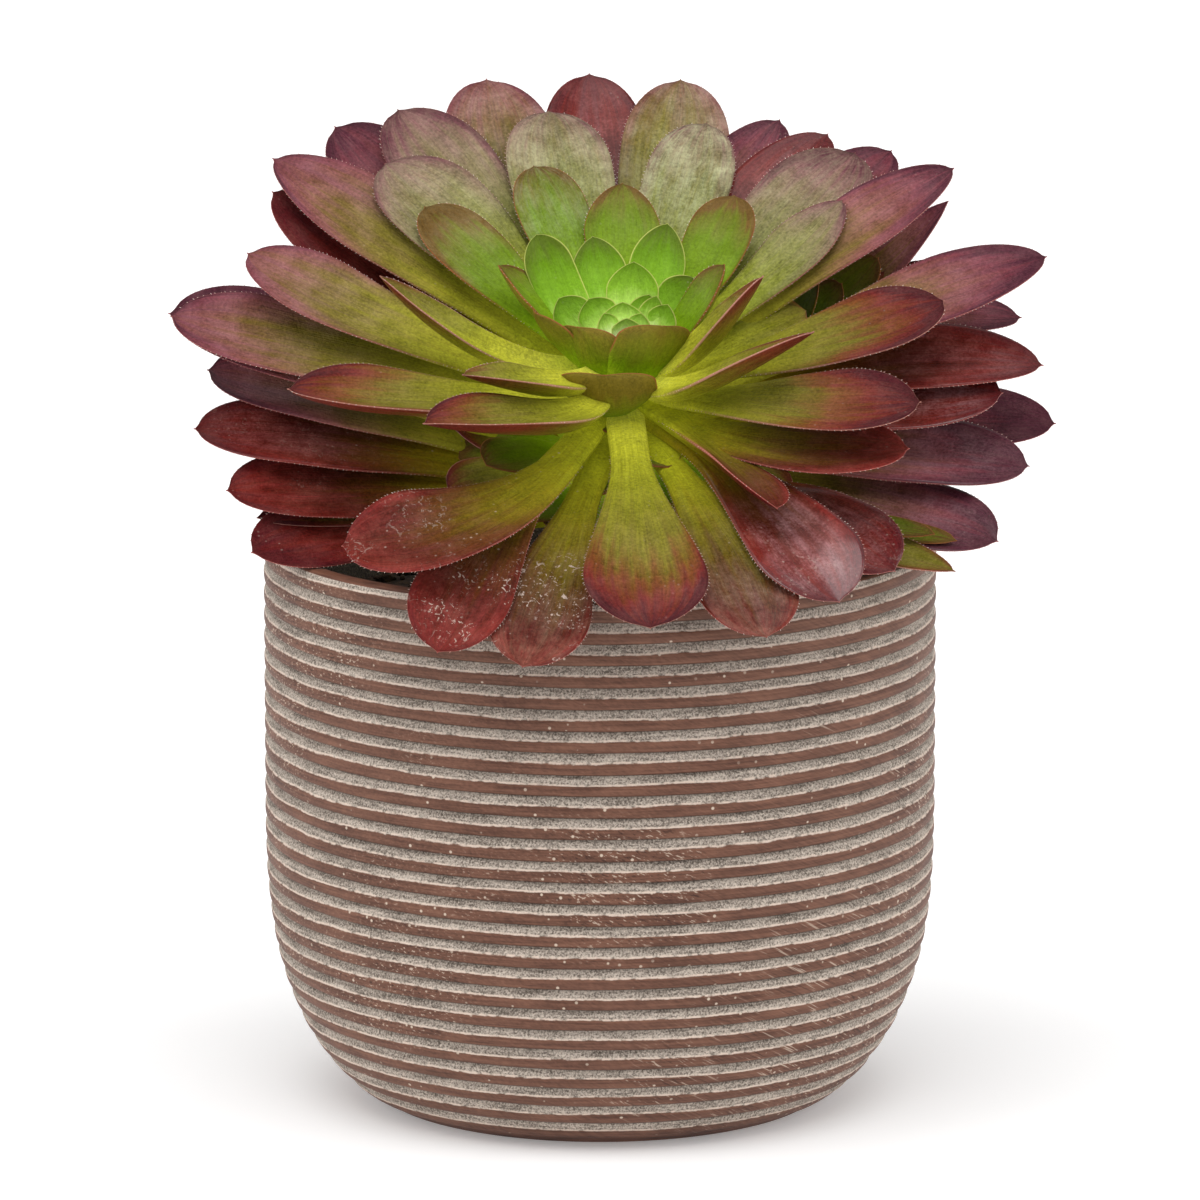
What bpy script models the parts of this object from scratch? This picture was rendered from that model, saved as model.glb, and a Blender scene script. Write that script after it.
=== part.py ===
"""Potted rosette succulent: a ribbed pot, its soil, a stem and fleshy leaves.

Metres, +Z up. The middle of the pot's flat underside is at the origin, and the
rosette leans towards -Y, the front. Every leaf is a sphere pressed into a spoon
shape that follows a curved midline from the stem to the leaf's tip. The small
leaves around the bud and on the side shoots are joined to the piece they grow on.
"""

from math import acos, radians, sqrt
from typing import NamedTuple

import bmesh
import bpy
from mathutils import Matrix, Vector

MM = 0.001
GAP = 0.3 * MM

# Pot: ridges all the way up, over a plain foot band.
POT_RADIUS = 90 * MM
POT_HEIGHT = 151.3 * MM
POT_FOOT_RADIUS = 58 * MM
POT_FOOT_BAND = 3.4 * MM
POT_FLARE_HEIGHT = 85 * MM
POT_WALL = 5.5 * MM
POT_FLOOR = 7 * MM
RIDGE_COUNT = 25
RIDGE_DEPTH = 1.3 * MM
POT_STEPS = 40

# Soil: fills the pot to a little below its rim.
SOIL_TOP = 133 * MM
SOIL_CROWN = 4 * MM
SOIL_STEPS = 24

# Stem: upright in the soil, then leaning to the front under the leaves.
STEM_RADIUS = 10 * MM
STEM_SOCKET_DEPTH = 26 * MM
STEM_TOP_RADIUS = 7.5 * MM
STEM_PATH = (
    Vector((0.0, 0.0, SOIL_TOP)),
    Vector((1.0, 1.5, 143.0)) * MM,
    Vector((3.0, 1.5, 152.0)) * MM,
    Vector((6.0, -10.0, 202.0)) * MM,
)

# Rosette: the direction that its open face looks in, and how petioles stack.
ROSETTE_AXIS = Vector((0.06, -0.50, 0.86)).normalized()
PETIOLE_THICKNESS = 2.7 * MM
PETIOLE_SHARE = 0.30
PETIOLE_FOOT_WIDTH = 4.2 * MM
PETIOLE_FOOT_THICKNESS = 1.8 * MM
BLADE_THICKNESS = 3.0 * MM
SEAT_STEP = 2.3 * MM
SEAT_SPREAD = radians(27)
NEIGHBOUR_STEP = 0.5 * MM
NEIGHBOUR_SPREAD = radians(45)
LEAF_SEGMENTS = 6
LEAF_RINGS = 11

# Bud: the closed heart of the rosette.
BUD_RADIUS = 7 * MM
BUD_HEIGHT = 15 * MM

# Colours as seen on the plant, linear RGB.
TINTS = {
    "burgundy": (0.10, 0.025, 0.028),
    "rose": (0.20, 0.06, 0.06),
    "olive": (0.22, 0.22, 0.06),
    "green": (0.14, 0.28, 0.03),
    "bloom": (0.26, 0.30, 0.18),
}


class Leaf(NamedTuple):
    """One leaf, in millimetres and degrees.

    The tip is a point. The bow lifts the midline off the straight line to the
    tip, and the sway pushes it sideways, clockwise as seen from above, both most
    at the bend, a share of the length. The neck is the share at which the blade
    has half opened. The turn rolls the blade about its midline, and the cup
    raises its edges as a share of its half width.
    """

    name: str
    tip: tuple
    width: float
    bow: float = 4.0
    sway: float = 0.0
    turn: float = 0.0
    cup: float = 0.16
    neck: float = 0.42
    bend: float = 0.5
    tint: str = "burgundy"


# From the lowest seat on the stem to the highest.
LEAVES = (
    Leaf("leaf_01", (-92, -42, 156), 27, 1, 3),
    Leaf("leaf_02", (93, -62, 155), 13, 1, tint="olive"),
    Leaf("leaf_03", (73, -72, 157), 30, 6),
    Leaf("leaf_04", (-20, -108, 139), 30, 8, -1, cup=0.1, neck=0.55, bend=0.65),
    Leaf("leaf_05", (103, -42, 158), 28, 1, -2),
    Leaf("leaf_06", (112, -20, 175), 27, 5, 1),
    Leaf("leaf_07", (120, 4, 182), 26, 1, -4),
    Leaf("leaf_08", (-99, -28, 170), 27, 2),
    Leaf("leaf_09", (-42, -104, 142), 30, 11, 1, cup=0.1, neck=0.55, bend=0.65),
    Leaf("leaf_10", (43, -104, 146), 28, 7, cup=0.1, neck=0.5, bend=0.65),
    Leaf("leaf_11", (-108, -14, 184), 26, 4),
    Leaf("leaf_12", (-105, 2, 197), 29, 5, tint="rose"),
    Leaf("leaf_13", (62, -93, 153), 31, 7.5, neck=0.5, bend=0.6),
    Leaf("leaf_14", (13, -112, 150), 34, 8, 1, cup=0.1, neck=0.6, bend=0.65, tint="olive"),
    Leaf("leaf_15", (-67, -88, 168), 30, 6, -21, neck=0.5, bend=0.66),
    Leaf("leaf_16", (107, -16, 193), 30, 3),
    Leaf("leaf_17", (118, -8, 202), 24, 6),
    Leaf("leaf_18", (113, 14, 209), 18, 11, -2, tint="rose"),
    Leaf("leaf_19", (-115, -2, 213), 33, 5, 2, tint="rose"),
    Leaf("leaf_20", (-88, 22, 242), 26, 2),
    Leaf("leaf_21", (-72, 52, 255), 32, 0, 3, tint="rose"),
    Leaf("leaf_22", (-31, 72, 265), 32, 4, -5, tint="rose"),
    Leaf("leaf_23", (-3, 82, 265), 29, 1),
    Leaf("leaf_24", (22, 78, 264), 30, 1, 3, tint="rose"),
    Leaf("leaf_25", (49, 64, 254), 15, 1, 0, tint="rose"),
    Leaf("leaf_26", (62, 58, 252), 22, 3, -2),
    Leaf("leaf_27", (79, 48, 249), 24, 3, tint="rose"),
    Leaf("leaf_28", (119, 0, 228), 23, 4, 5),
    Leaf("leaf_29", (-114, -12, 216), 29, 3, -4, tint="rose"),
    Leaf("leaf_30", (-94, 0, 229), 25, 4, -9, tint="rose"),
    Leaf("leaf_31", (-88, 28, 250), 28, 2, tint="rose"),
    Leaf("leaf_32", (81, -58, 186), 24, 4, 14),
    Leaf("leaf_33", (44, -84, 176), 19, 8, cup=0.4),
    Leaf("leaf_34", (83, -56, 191), 31, 7, 9, tint="olive"),
    Leaf("leaf_35", (-82, -48, 203), 26, 4, -13, cup=0.3, tint="olive"),
    Leaf("leaf_36", (-46, -76, 199), 20, 4, -12, cup=0.5, tint="olive"),
    Leaf("leaf_37", (95, 24, 248), 20, 4, 1.5, tint="rose"),
    Leaf("leaf_38", (69, 44, 249), 30, 3, 2, tint="bloom"),
    Leaf("leaf_39", (29, 58, 255), 24, 1, tint="bloom"),
    Leaf("leaf_40", (-14, 60, 258), 29, 2, -2, tint="bloom"),
    Leaf("leaf_41", (-55, 56, 259), 30, 0, neck=0.44, tint="bloom"),
    Leaf("leaf_42", (-58, 32, 248), 30, 2, tint="bloom"),
    Leaf("leaf_43", (91, -22, 218), 27, 4, 10, tint="olive"),
    Leaf("leaf_44", (65, 20, 240), 18, 2, 5, tint="olive"),
    Leaf("leaf_45", (-47, 15, 239), 21, 1, -2, tint="green"),
    Leaf("leaf_46", (-58, -30, 228), 12, 3, -9, tint="olive"),
    Leaf("leaf_47", (-36, -60, 210), 14, 3, -8, cup=0.4, tint="olive"),
    Leaf("leaf_48", (56, -52, 217), 16, 2, 15, cup=0.4, tint="olive"),
    Leaf("leaf_49", (43, -30, 228), 14, 2, 10, cup=0.4, tint="olive"),
    Leaf("leaf_50", (36, 22, 241), 18, 1, 4, tint="green"),
    Leaf("leaf_51", (-18, 34, 247), 20, 0, tint="green"),
    Leaf("leaf_52", (6, 30, 243), 21, 0, tint="green"),
    Leaf("leaf_53", (-27, -8, 227), 15, 0, -1.5, tint="green"),
    Leaf("leaf_54", (33, -12, 228), 13, 0, 3, tint="green"),
)

# Small leaves that grow out of the bud, and join it in one piece.
BUD_LEAVES = (
    Leaf("back_left", (-3, 6, 232), 15, 0, tint="green"),
    Leaf("back_right", (18, 10, 236), 14, 0, tint="green"),
    Leaf("left", (-18, 2, 233), 14, 0, tint="green"),
    Leaf("right", (25, -4, 223), 11, 0, tint="green"),
    Leaf("low_left", (-12, -14, 218), 9, 0, tint="green"),
    Leaf("front_left", (-17, -26, 218), 11, 0, tint="green"),
    Leaf("front", (1, -34, 213), 16, -2, tint="green"),
    Leaf("front_right", (22, -36, 216), 18, -2, tint="green"),
    Leaf("front_low", (-2, -52, 206), 22, -2, tint="olive"),
)


class Shoot(NamedTuple):
    """A side shoot: its heart, where its stalk leaves the stem, and its leaves."""

    name: str
    heart: tuple
    foot: float
    leaves: tuple


SHOOT_HEART_RADIUS = 5 * MM
SHOOTS = (
    Shoot("side_shoot_right", (40, 28, 184), 44, (
        Leaf("long", (94, 37, 237), 14, 0, tint="rose"),
        Leaf("red", (84, 46, 229), 14, 0),
        Leaf("curled", (87, 30, 222), 12, 2, tint="olive"),
        Leaf("green", (79, 40, 214), 14, 0, tint="green"),
    )),
    Shoot("side_shoot_left", (-34, 32, 178), 42, (
        Leaf("grey", (-67, 38, 214), 15, 0, tint="bloom"),
        Leaf("green", (-56, 31, 210), 15, 0, tint="green"),
        Leaf("inner", (-34, 22, 202), 14, 0, tint="green"),
    )),
)


def clear_scene():
    """Remove every object that the scene holds."""
    for item in list(bpy.data.objects):
        bpy.data.objects.remove(item, do_unlink=True)


def new_collection(name):
    """Return a new collection linked to the scene."""
    collection = bpy.data.collections.new(name)
    bpy.context.scene.collection.children.link(collection)
    return collection


def new_material(name, colour, roughness):
    """Return a Principled material of one colour."""
    material = bpy.data.materials.new(name)
    material.use_nodes = True
    shader = material.node_tree.nodes["Principled BSDF"]
    shader.inputs["Base Color"].default_value = (*colour, 1.0)
    shader.inputs["Roughness"].default_value = roughness
    shader.inputs["Metallic"].default_value = 0.0
    material.diffuse_color = (*colour, 1.0)
    return material


def new_object(name, mesh, collection, colour, roughness):
    """Link a mesh as a named object with its own material."""
    item = bpy.data.objects.new(name, mesh)
    mesh.materials.append(new_material(name + "_finish", colour, roughness))
    collection.objects.link(item)
    return item


def turned(name, outline, steps, collection, colour, roughness):
    """Turn a closed outline of (radius, height) points about the Z axis."""
    mesh = bpy.data.meshes.new(name)
    points = [(radius, 0.0, height) for radius, height in outline]
    edges = [(i, i + 1) for i in range(len(points) - 1)]
    mesh.from_pydata(points, edges, [])
    item = new_object(name, mesh, collection, colour, roughness)
    screw = item.modifiers.new("turn", "SCREW")
    screw.axis = "Z"
    screw.steps = steps
    screw.render_steps = steps
    screw.use_merge_vertices = True
    screw.merge_threshold = 0.0001
    return item


def smooth_step(value):
    """Return 0 below 0, 1 above 1, and a smooth rise between."""
    value = min(max(value, 0.0), 1.0)
    return value * value * (3.0 - 2.0 * value)


def pot_radius(height):
    """Return the pot's outer radius over its ridges at a height."""
    if height >= POT_FLARE_HEIGHT:
        return POT_RADIUS
    below = (POT_FLARE_HEIGHT - height) / POT_FLARE_HEIGHT
    return POT_FOOT_RADIUS + (POT_RADIUS - POT_FOOT_RADIUS) * (1.0 - below ** 3) ** 0.7


def ridge_outline():
    """Return the pot's outer side from the rim down to the foot band."""
    pitch = (POT_HEIGHT - POT_FOOT_BAND) / RIDGE_COUNT
    points = []
    for ridge in range(RIDGE_COUNT):
        top = POT_HEIGHT - ridge * pitch
        for drop, depth in ((0.0, 0.35), (0.42, 0.0), (0.9, 1.0)):
            height = top - drop * pitch
            points.append((pot_radius(height) - depth * RIDGE_DEPTH, height))
    return points


def build_pot(collection):
    """Build the pot as one turned shell with an open top."""
    inner_top = POT_RADIUS - POT_WALL
    inner_foot = POT_FOOT_RADIUS + 4 * MM
    outline = [(0.0, POT_FLOOR), (inner_foot, POT_FLOOR)]
    outline += [
        (pot_radius(height) - POT_WALL, height)
        for height in (20 * MM, 42 * MM, POT_FLARE_HEIGHT)
    ]
    outline += [(inner_top, POT_HEIGHT - 1.2 * MM), (inner_top + 1.2 * MM, POT_HEIGHT)]
    outline += ridge_outline()
    outline += [
        (pot_radius(POT_FOOT_BAND), POT_FOOT_BAND),
        (POT_FOOT_RADIUS + 1.5 * MM, 0.6 * MM),
        (POT_FOOT_RADIUS, 0.0),
        (0.0, 0.0),
    ]
    turned("pot", outline, POT_STEPS, collection, (0.16, 0.075, 0.05), 0.6)


def build_soil(collection):
    """Build the soil as one turned plug with a socket for the stem."""
    socket = STEM_RADIUS + GAP
    foot = POT_FOOT_RADIUS + 4 * MM - 2 * GAP
    outline = [
        (0.0, SOIL_TOP - STEM_SOCKET_DEPTH),
        (socket, SOIL_TOP - STEM_SOCKET_DEPTH),
        (socket, SOIL_TOP),
        (POT_RADIUS * 0.5, SOIL_TOP - SOIL_CROWN * 0.4),
        (POT_RADIUS - POT_WALL - 2 * GAP, SOIL_TOP - SOIL_CROWN),
    ]
    outline += [
        (pot_radius(height) - POT_WALL - 2 * GAP, height)
        for height in (POT_FLARE_HEIGHT, 42 * MM, 20 * MM)
    ]
    outline += [(foot, POT_FLOOR + GAP), (0.0, POT_FLOOR + GAP)]
    turned("soil", outline, SOIL_STEPS, collection, (0.02, 0.014, 0.01), 0.95)


def stem_point(height):
    """Return a point on the stem's leafy stretch, measured down from its top."""
    top = STEM_PATH[-1]
    along = (STEM_PATH[-2] - top).normalized()
    return top + along * height


def build_stem(collection):
    """Build the stem as a bevelled curve that narrows towards its top."""
    root = STEM_PATH[0] - Vector((0.0, 0.0, STEM_SOCKET_DEPTH - GAP))
    points = (root, *STEM_PATH)
    curve = bpy.data.curves.new("stem", "CURVE")
    curve.dimensions = "3D"
    curve.bevel_depth = STEM_RADIUS
    curve.bevel_resolution = 3
    curve.use_fill_caps = True
    spline = curve.splines.new("POLY")
    spline.points.add(len(points) - 1)
    for slot, point in zip(spline.points, points):
        slot.co = (*point, 1.0)
    spline.points[-1].radius = STEM_TOP_RADIUS / STEM_RADIUS
    item = bpy.data.objects.new("stem", curve)
    curve.materials.append(new_material("stem_finish", (0.12, 0.10, 0.04), 0.7))
    collection.objects.link(item)


def stem_radius(height):
    """Return the stem's radius at a distance below its top."""
    stretch = (STEM_PATH[-2] - STEM_PATH[-1]).length
    share = min(height / stretch, 1.0)
    return STEM_TOP_RADIUS + (STEM_RADIUS - STEM_TOP_RADIUS) * share


def heading(leaf):
    """Return the direction of a leaf's tip around the stem, as a flat vector."""
    along = (STEM_PATH[-1] - STEM_PATH[-2]).normalized()
    ahead = Vector((0.0, -1.0, 0.0))
    ahead = (ahead - along * ahead.dot(along)).normalized()
    aside = along.cross(ahead)
    away = Vector(leaf.tip) * MM - STEM_PATH[-1]
    return away.dot(aside), away.dot(ahead)


def heading_between(first, second):
    """Return the angle around the stem between two leaves."""
    ax, ay = heading(first)
    bx, by = heading(second)
    turn = (ax * bx + ay * by) / (sqrt(ax * ax + ay * ay) * sqrt(bx * bx + by * by))
    return acos(min(max(turn, -1.0), 1.0))


def seat_depths():
    """Return how far below the stem's top each leaf is seated.

    Leaves are seated from the top down, each as high as the petioles of the
    leaves above it on the same side of the stem leave room for.
    """
    seats = {}
    placed = []
    for leaf in reversed(LEAVES):
        depth = 1.5 * MM
        for other in placed:
            apart = heading_between(leaf, other)
            if apart < SEAT_SPREAD:
                depth = max(depth, seats[other.name] + SEAT_STEP)
            elif apart < NEIGHBOUR_SPREAD:
                depth = max(depth, seats[other.name] + NEIGHBOUR_STEP)
        seats[leaf.name] = depth
        placed.append(leaf)
    return seats


def leaf_half_width(share, width, neck):
    """Return a leaf's half width at a share of its length."""
    half = width * MM / 2.0
    petiole = half * PETIOLE_SHARE
    widening = smooth_step((share - neck + 0.32) / 0.64)
    body = petiole + (half - petiole) * widening
    foot = PETIOLE_FOOT_WIDTH / 2.0
    body = foot + (body - foot) * smooth_step(share / 0.2)
    if share > 0.76:
        end = (share - 0.76) / 0.24
        body *= sqrt(max(1.0 - end ** 2.1, 0.0))
    return body


def leaf_thickness(share):
    """Return a leaf's thickness on its midline at a share of its length."""
    foot = PETIOLE_FOOT_THICKNESS
    body = PETIOLE_THICKNESS + (BLADE_THICKNESS - PETIOLE_THICKNESS) * smooth_step(share)
    body = foot + (body - foot) * smooth_step(share / 0.2)
    return body * sqrt(1.0 - max(share - 0.6, 0.0) / 0.4)


def leaf_frame(leaf, base):
    """Return the midline's middle control point, and the blade's side and up."""
    tip = Vector(leaf.tip) * MM
    chord = (tip - base).normalized()
    up = (ROSETTE_AXIS - chord * ROSETTE_AXIS.dot(chord)).normalized()
    side = chord.cross(up)
    middle = base.lerp(tip, leaf.bend) + (up * leaf.bow + side * leaf.sway) * 2.0 * MM
    return middle, side, up


def leaf_base(leaf, depth):
    """Return the point just outside the stem where a leaf's petiole ends."""
    seat = stem_point(depth)
    along = (STEM_PATH[-1] - STEM_PATH[-2]).normalized()
    away = Vector(leaf.tip) * MM - seat
    away = (away - along * away.dot(along)).normalized()
    return seat + away * (stem_radius(depth) + GAP)


def press_leaf(mesh_data, leaf, base):
    """Move the vertices of a unit sphere into a leaf's shape."""
    tip = Vector(leaf.tip) * MM
    middle, side, up = leaf_frame(leaf, base)
    for vertex in mesh_data.verts:
        share = (1.0 - vertex.co.z) / 2.0
        reach = sqrt(max(1.0 - vertex.co.z ** 2, 0.0))
        across = vertex.co.x / reach if reach > 0.001 else 0.0
        above = vertex.co.y / reach if reach > 0.001 else 0.0
        rest = 1.0 - share
        point = base * rest * rest + middle * 2.0 * share * rest + tip * share * share
        tangent = ((middle - base) * rest + (tip - middle) * share).normalized()
        roll = Matrix.Rotation(radians(leaf.turn) * smooth_step(share / 0.6), 3, tangent)
        flat = side - tangent * side.dot(tangent)
        flat = roll @ flat.normalized()
        rise = flat.cross(tangent)
        if rise.dot(roll @ up) < 0.0:
            rise.negate()
        half = leaf_half_width(share, leaf.width, leaf.neck) if reach > 0.001 else 0.0
        thick = leaf_thickness(share) / 2.0 if reach > 0.001 else 0.0
        lift = leaf.cup * half * across * across
        vertex.co = point + flat * half * across + rise * (thick * above + lift)


def leaf_mesh(leaf, base):
    """Return the mesh of one leaf that starts at a base point."""
    shape = bmesh.new()
    bmesh.ops.create_uvsphere(
        shape, u_segments=LEAF_SEGMENTS, v_segments=LEAF_RINGS, radius=1.0
    )
    press_leaf(shape, leaf, base)
    mesh = bpy.data.meshes.new(leaf.name)
    shape.to_mesh(mesh)
    shape.free()
    return mesh


def build_leaf(leaf, depth, collection):
    """Build one leaf on its seat on the stem."""
    mesh = leaf_mesh(leaf, leaf_base(leaf, depth))
    new_object(leaf.name, mesh, collection, TINTS[leaf.tint], 0.4)


def join_pieces(item, meshes, cutters):
    """Join meshes to an object with Boolean unions."""
    for mesh in meshes:
        piece = bpy.data.objects.new(item.name + "_" + mesh.name, mesh)
        piece.display_type = "WIRE"
        piece.hide_render = True
        cutters.objects.link(piece)
        union = item.modifiers.new(mesh.name, "BOOLEAN")
        union.operation = "UNION"
        union.solver = "EXACT"
        union.object = piece


def build_bud(collection, cutters):
    """Build the bud as a pointed egg on the stem's top, with its small leaves."""
    shape = bmesh.new()
    bmesh.ops.create_uvsphere(shape, u_segments=10, v_segments=6, radius=1.0)
    for vertex in shape.verts:
        share = (1.0 + vertex.co.z) / 2.0
        narrowing = 1.0 - 0.55 * share
        vertex.co.x *= BUD_RADIUS * narrowing
        vertex.co.y *= BUD_RADIUS * narrowing
        vertex.co.z = share * BUD_HEIGHT
    along = (STEM_PATH[-1] - STEM_PATH[-2]).normalized()
    place = Matrix.Translation(STEM_PATH[-1] + along * GAP)
    place = place @ Vector((0.0, 0.0, 1.0)).rotation_difference(along).to_matrix().to_4x4()
    bmesh.ops.transform(shape, matrix=place, verts=shape.verts)
    mesh = bpy.data.meshes.new("bud")
    shape.to_mesh(mesh)
    shape.free()
    bud = new_object("bud", mesh, collection, TINTS["green"], 0.4)
    root = STEM_PATH[-1] + along * BUD_HEIGHT * 0.4
    join_pieces(bud, [leaf_mesh(leaf, root) for leaf in BUD_LEAVES], cutters)


def build_shoot(shoot, collection, cutters):
    """Build a side shoot as a round heart, joined to its stalk and leaves."""
    heart = Vector(shoot.heart) * MM
    shape = bmesh.new()
    bmesh.ops.create_uvsphere(
        shape, u_segments=8, v_segments=6, radius=SHOOT_HEART_RADIUS,
        matrix=Matrix.Translation(heart),
    )
    mesh = bpy.data.meshes.new(shoot.name)
    shape.to_mesh(mesh)
    shape.free()
    item = new_object(shoot.name, mesh, collection, TINTS["green"], 0.4)
    stalk = Leaf("stalk", shoot.heart, 9, -2, cup=0.0, neck=0.9)
    meshes = [leaf_mesh(stalk, leaf_base(stalk, shoot.foot * MM))]
    meshes += [leaf_mesh(leaf, heart) for leaf in shoot.leaves]
    join_pieces(item, meshes, cutters)


def main():
    """Build every piece."""
    clear_scene()
    plant = new_collection("potted_semponium")
    joined = new_collection("joined_pieces")
    build_pot(plant)
    build_soil(plant)
    build_stem(plant)
    build_bud(plant, joined)
    for shoot in SHOOTS:
        build_shoot(shoot, plant, joined)
    seats = seat_depths()
    for leaf in LEAVES:
        build_leaf(leaf, seats[leaf.name], plant)


main()
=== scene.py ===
"""Potted semponium: the looks of a rosette succulent in a ribbed planter.

Metres, +Z up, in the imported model's frame. The rosette leans towards -Y, where the
camera stands. Every leaf is a sphere pressed into a spoon shape on its midline, as
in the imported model, with a finer surface, a pointed tip and hairs on its margin.
"""

from __future__ import annotations

import logging
from dataclasses import dataclass
from enum import Enum, IntEnum
from math import acos, cos, exp, pi, radians, sin, sqrt
from random import Random

import bmesh
import bpy
from mathutils import Matrix, Vector, noise

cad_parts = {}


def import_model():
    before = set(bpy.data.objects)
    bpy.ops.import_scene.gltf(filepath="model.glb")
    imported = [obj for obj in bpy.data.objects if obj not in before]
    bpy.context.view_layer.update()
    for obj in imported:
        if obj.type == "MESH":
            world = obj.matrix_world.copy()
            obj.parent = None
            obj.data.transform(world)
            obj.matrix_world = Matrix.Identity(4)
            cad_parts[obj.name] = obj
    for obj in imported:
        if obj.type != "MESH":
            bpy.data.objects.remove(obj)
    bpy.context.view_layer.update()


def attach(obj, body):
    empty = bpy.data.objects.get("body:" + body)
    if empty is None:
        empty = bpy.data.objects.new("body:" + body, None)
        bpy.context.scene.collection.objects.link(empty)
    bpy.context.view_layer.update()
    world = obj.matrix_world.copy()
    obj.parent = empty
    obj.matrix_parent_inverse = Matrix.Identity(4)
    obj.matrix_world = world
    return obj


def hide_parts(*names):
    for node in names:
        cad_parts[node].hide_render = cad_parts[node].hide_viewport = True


MM = 0.001
LOG = logging.getLogger("potted_semponium")

# The way the rosette faces: up, and a little to the front.
ROSETTE_AXIS = Vector((0.06, -0.50, 0.86)).normalized()

# The values of a leaf that its skin is painted from, held at every point of its mesh.
SKIN_VALUES = ("ripe", "bloom", "gloss", "specks")

# Points nearer than this are the same point.
SAME_POINT = 0.01 * MM


def smooth_step(value: float, low: float = 0.0, high: float = 1.0) -> float:
    """Return a smooth rise from 0 at low to 1 at high."""
    value = min(max((value - low) / (high - low), 0.0), 1.0)
    return value * value * (3.0 - 2.0 * value)


def linear(colour: tuple[int, int, int]) -> tuple[float, float, float, float]:
    """Turn a colour as seen on a screen, 0 to 255, into linear light.

    Args:
        colour: red, green and blue.

    Returns:
        The linear colour, with an alpha of 1.
    """
    parts = [part / 255.0 for part in colour]
    light = [p / 12.92 if p <= 0.04045 else ((p + 0.055) / 1.055) ** 2.4 for p in parts]
    return (*light, 1.0)


class Wire:
    """A socket of a shader graph that takes part in arithmetic."""

    def __init__(self, graph: Graph, socket: bpy.types.NodeSocket) -> None:
        """Keep the socket and the graph that it belongs to."""
        self.graph = graph
        self.socket = socket

    def __add__(self, other: Wire | float) -> Wire:
        """Return this value plus another."""
        return self.graph.math("ADD", self, other)

    def __radd__(self, other: float) -> Wire:
        """Return a number plus this value."""
        return self.graph.math("ADD", other, self)

    def __sub__(self, other: Wire | float) -> Wire:
        """Return this value less another."""
        return self.graph.math("SUBTRACT", self, other)

    def __rsub__(self, other: float) -> Wire:
        """Return a number less this value."""
        return self.graph.math("SUBTRACT", other, self)

    def __mul__(self, other: Wire | float) -> Wire:
        """Return this value times another."""
        return self.graph.math("MULTIPLY", self, other)

    def __rmul__(self, other: float) -> Wire:
        """Return a number times this value."""
        return self.graph.math("MULTIPLY", other, self)

    def __pow__(self, other: float) -> Wire:
        """Return this value raised to a power."""
        return self.graph.math("POWER", self, other)

    def __abs__(self) -> Wire:
        """Return this value without its sign."""
        return self.graph.math("ABSOLUTE", self, 0.0)

    def larger(self, other: Wire | float) -> Wire:
        """Return the larger of this value and another."""
        return self.graph.math("MAXIMUM", self, other)

    def fraction(self) -> Wire:
        """Return what this value has past its whole number."""
        return self.graph.math("FRACT", self, 0.0)

    def rise(self, low: float, high: float) -> Wire:
        """Turn this value into a smooth rise from 0 to 1.

        Args:
            low: where the rise starts.
            high: where it ends.

        Returns:
            The risen value.
        """
        settings = {"interpolation_type": "SMOOTHSTEP"}
        values = {"Value": self, "From Min": low, "From Max": high}
        return self.graph.node("ShaderNodeMapRange", settings, values)


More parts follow.
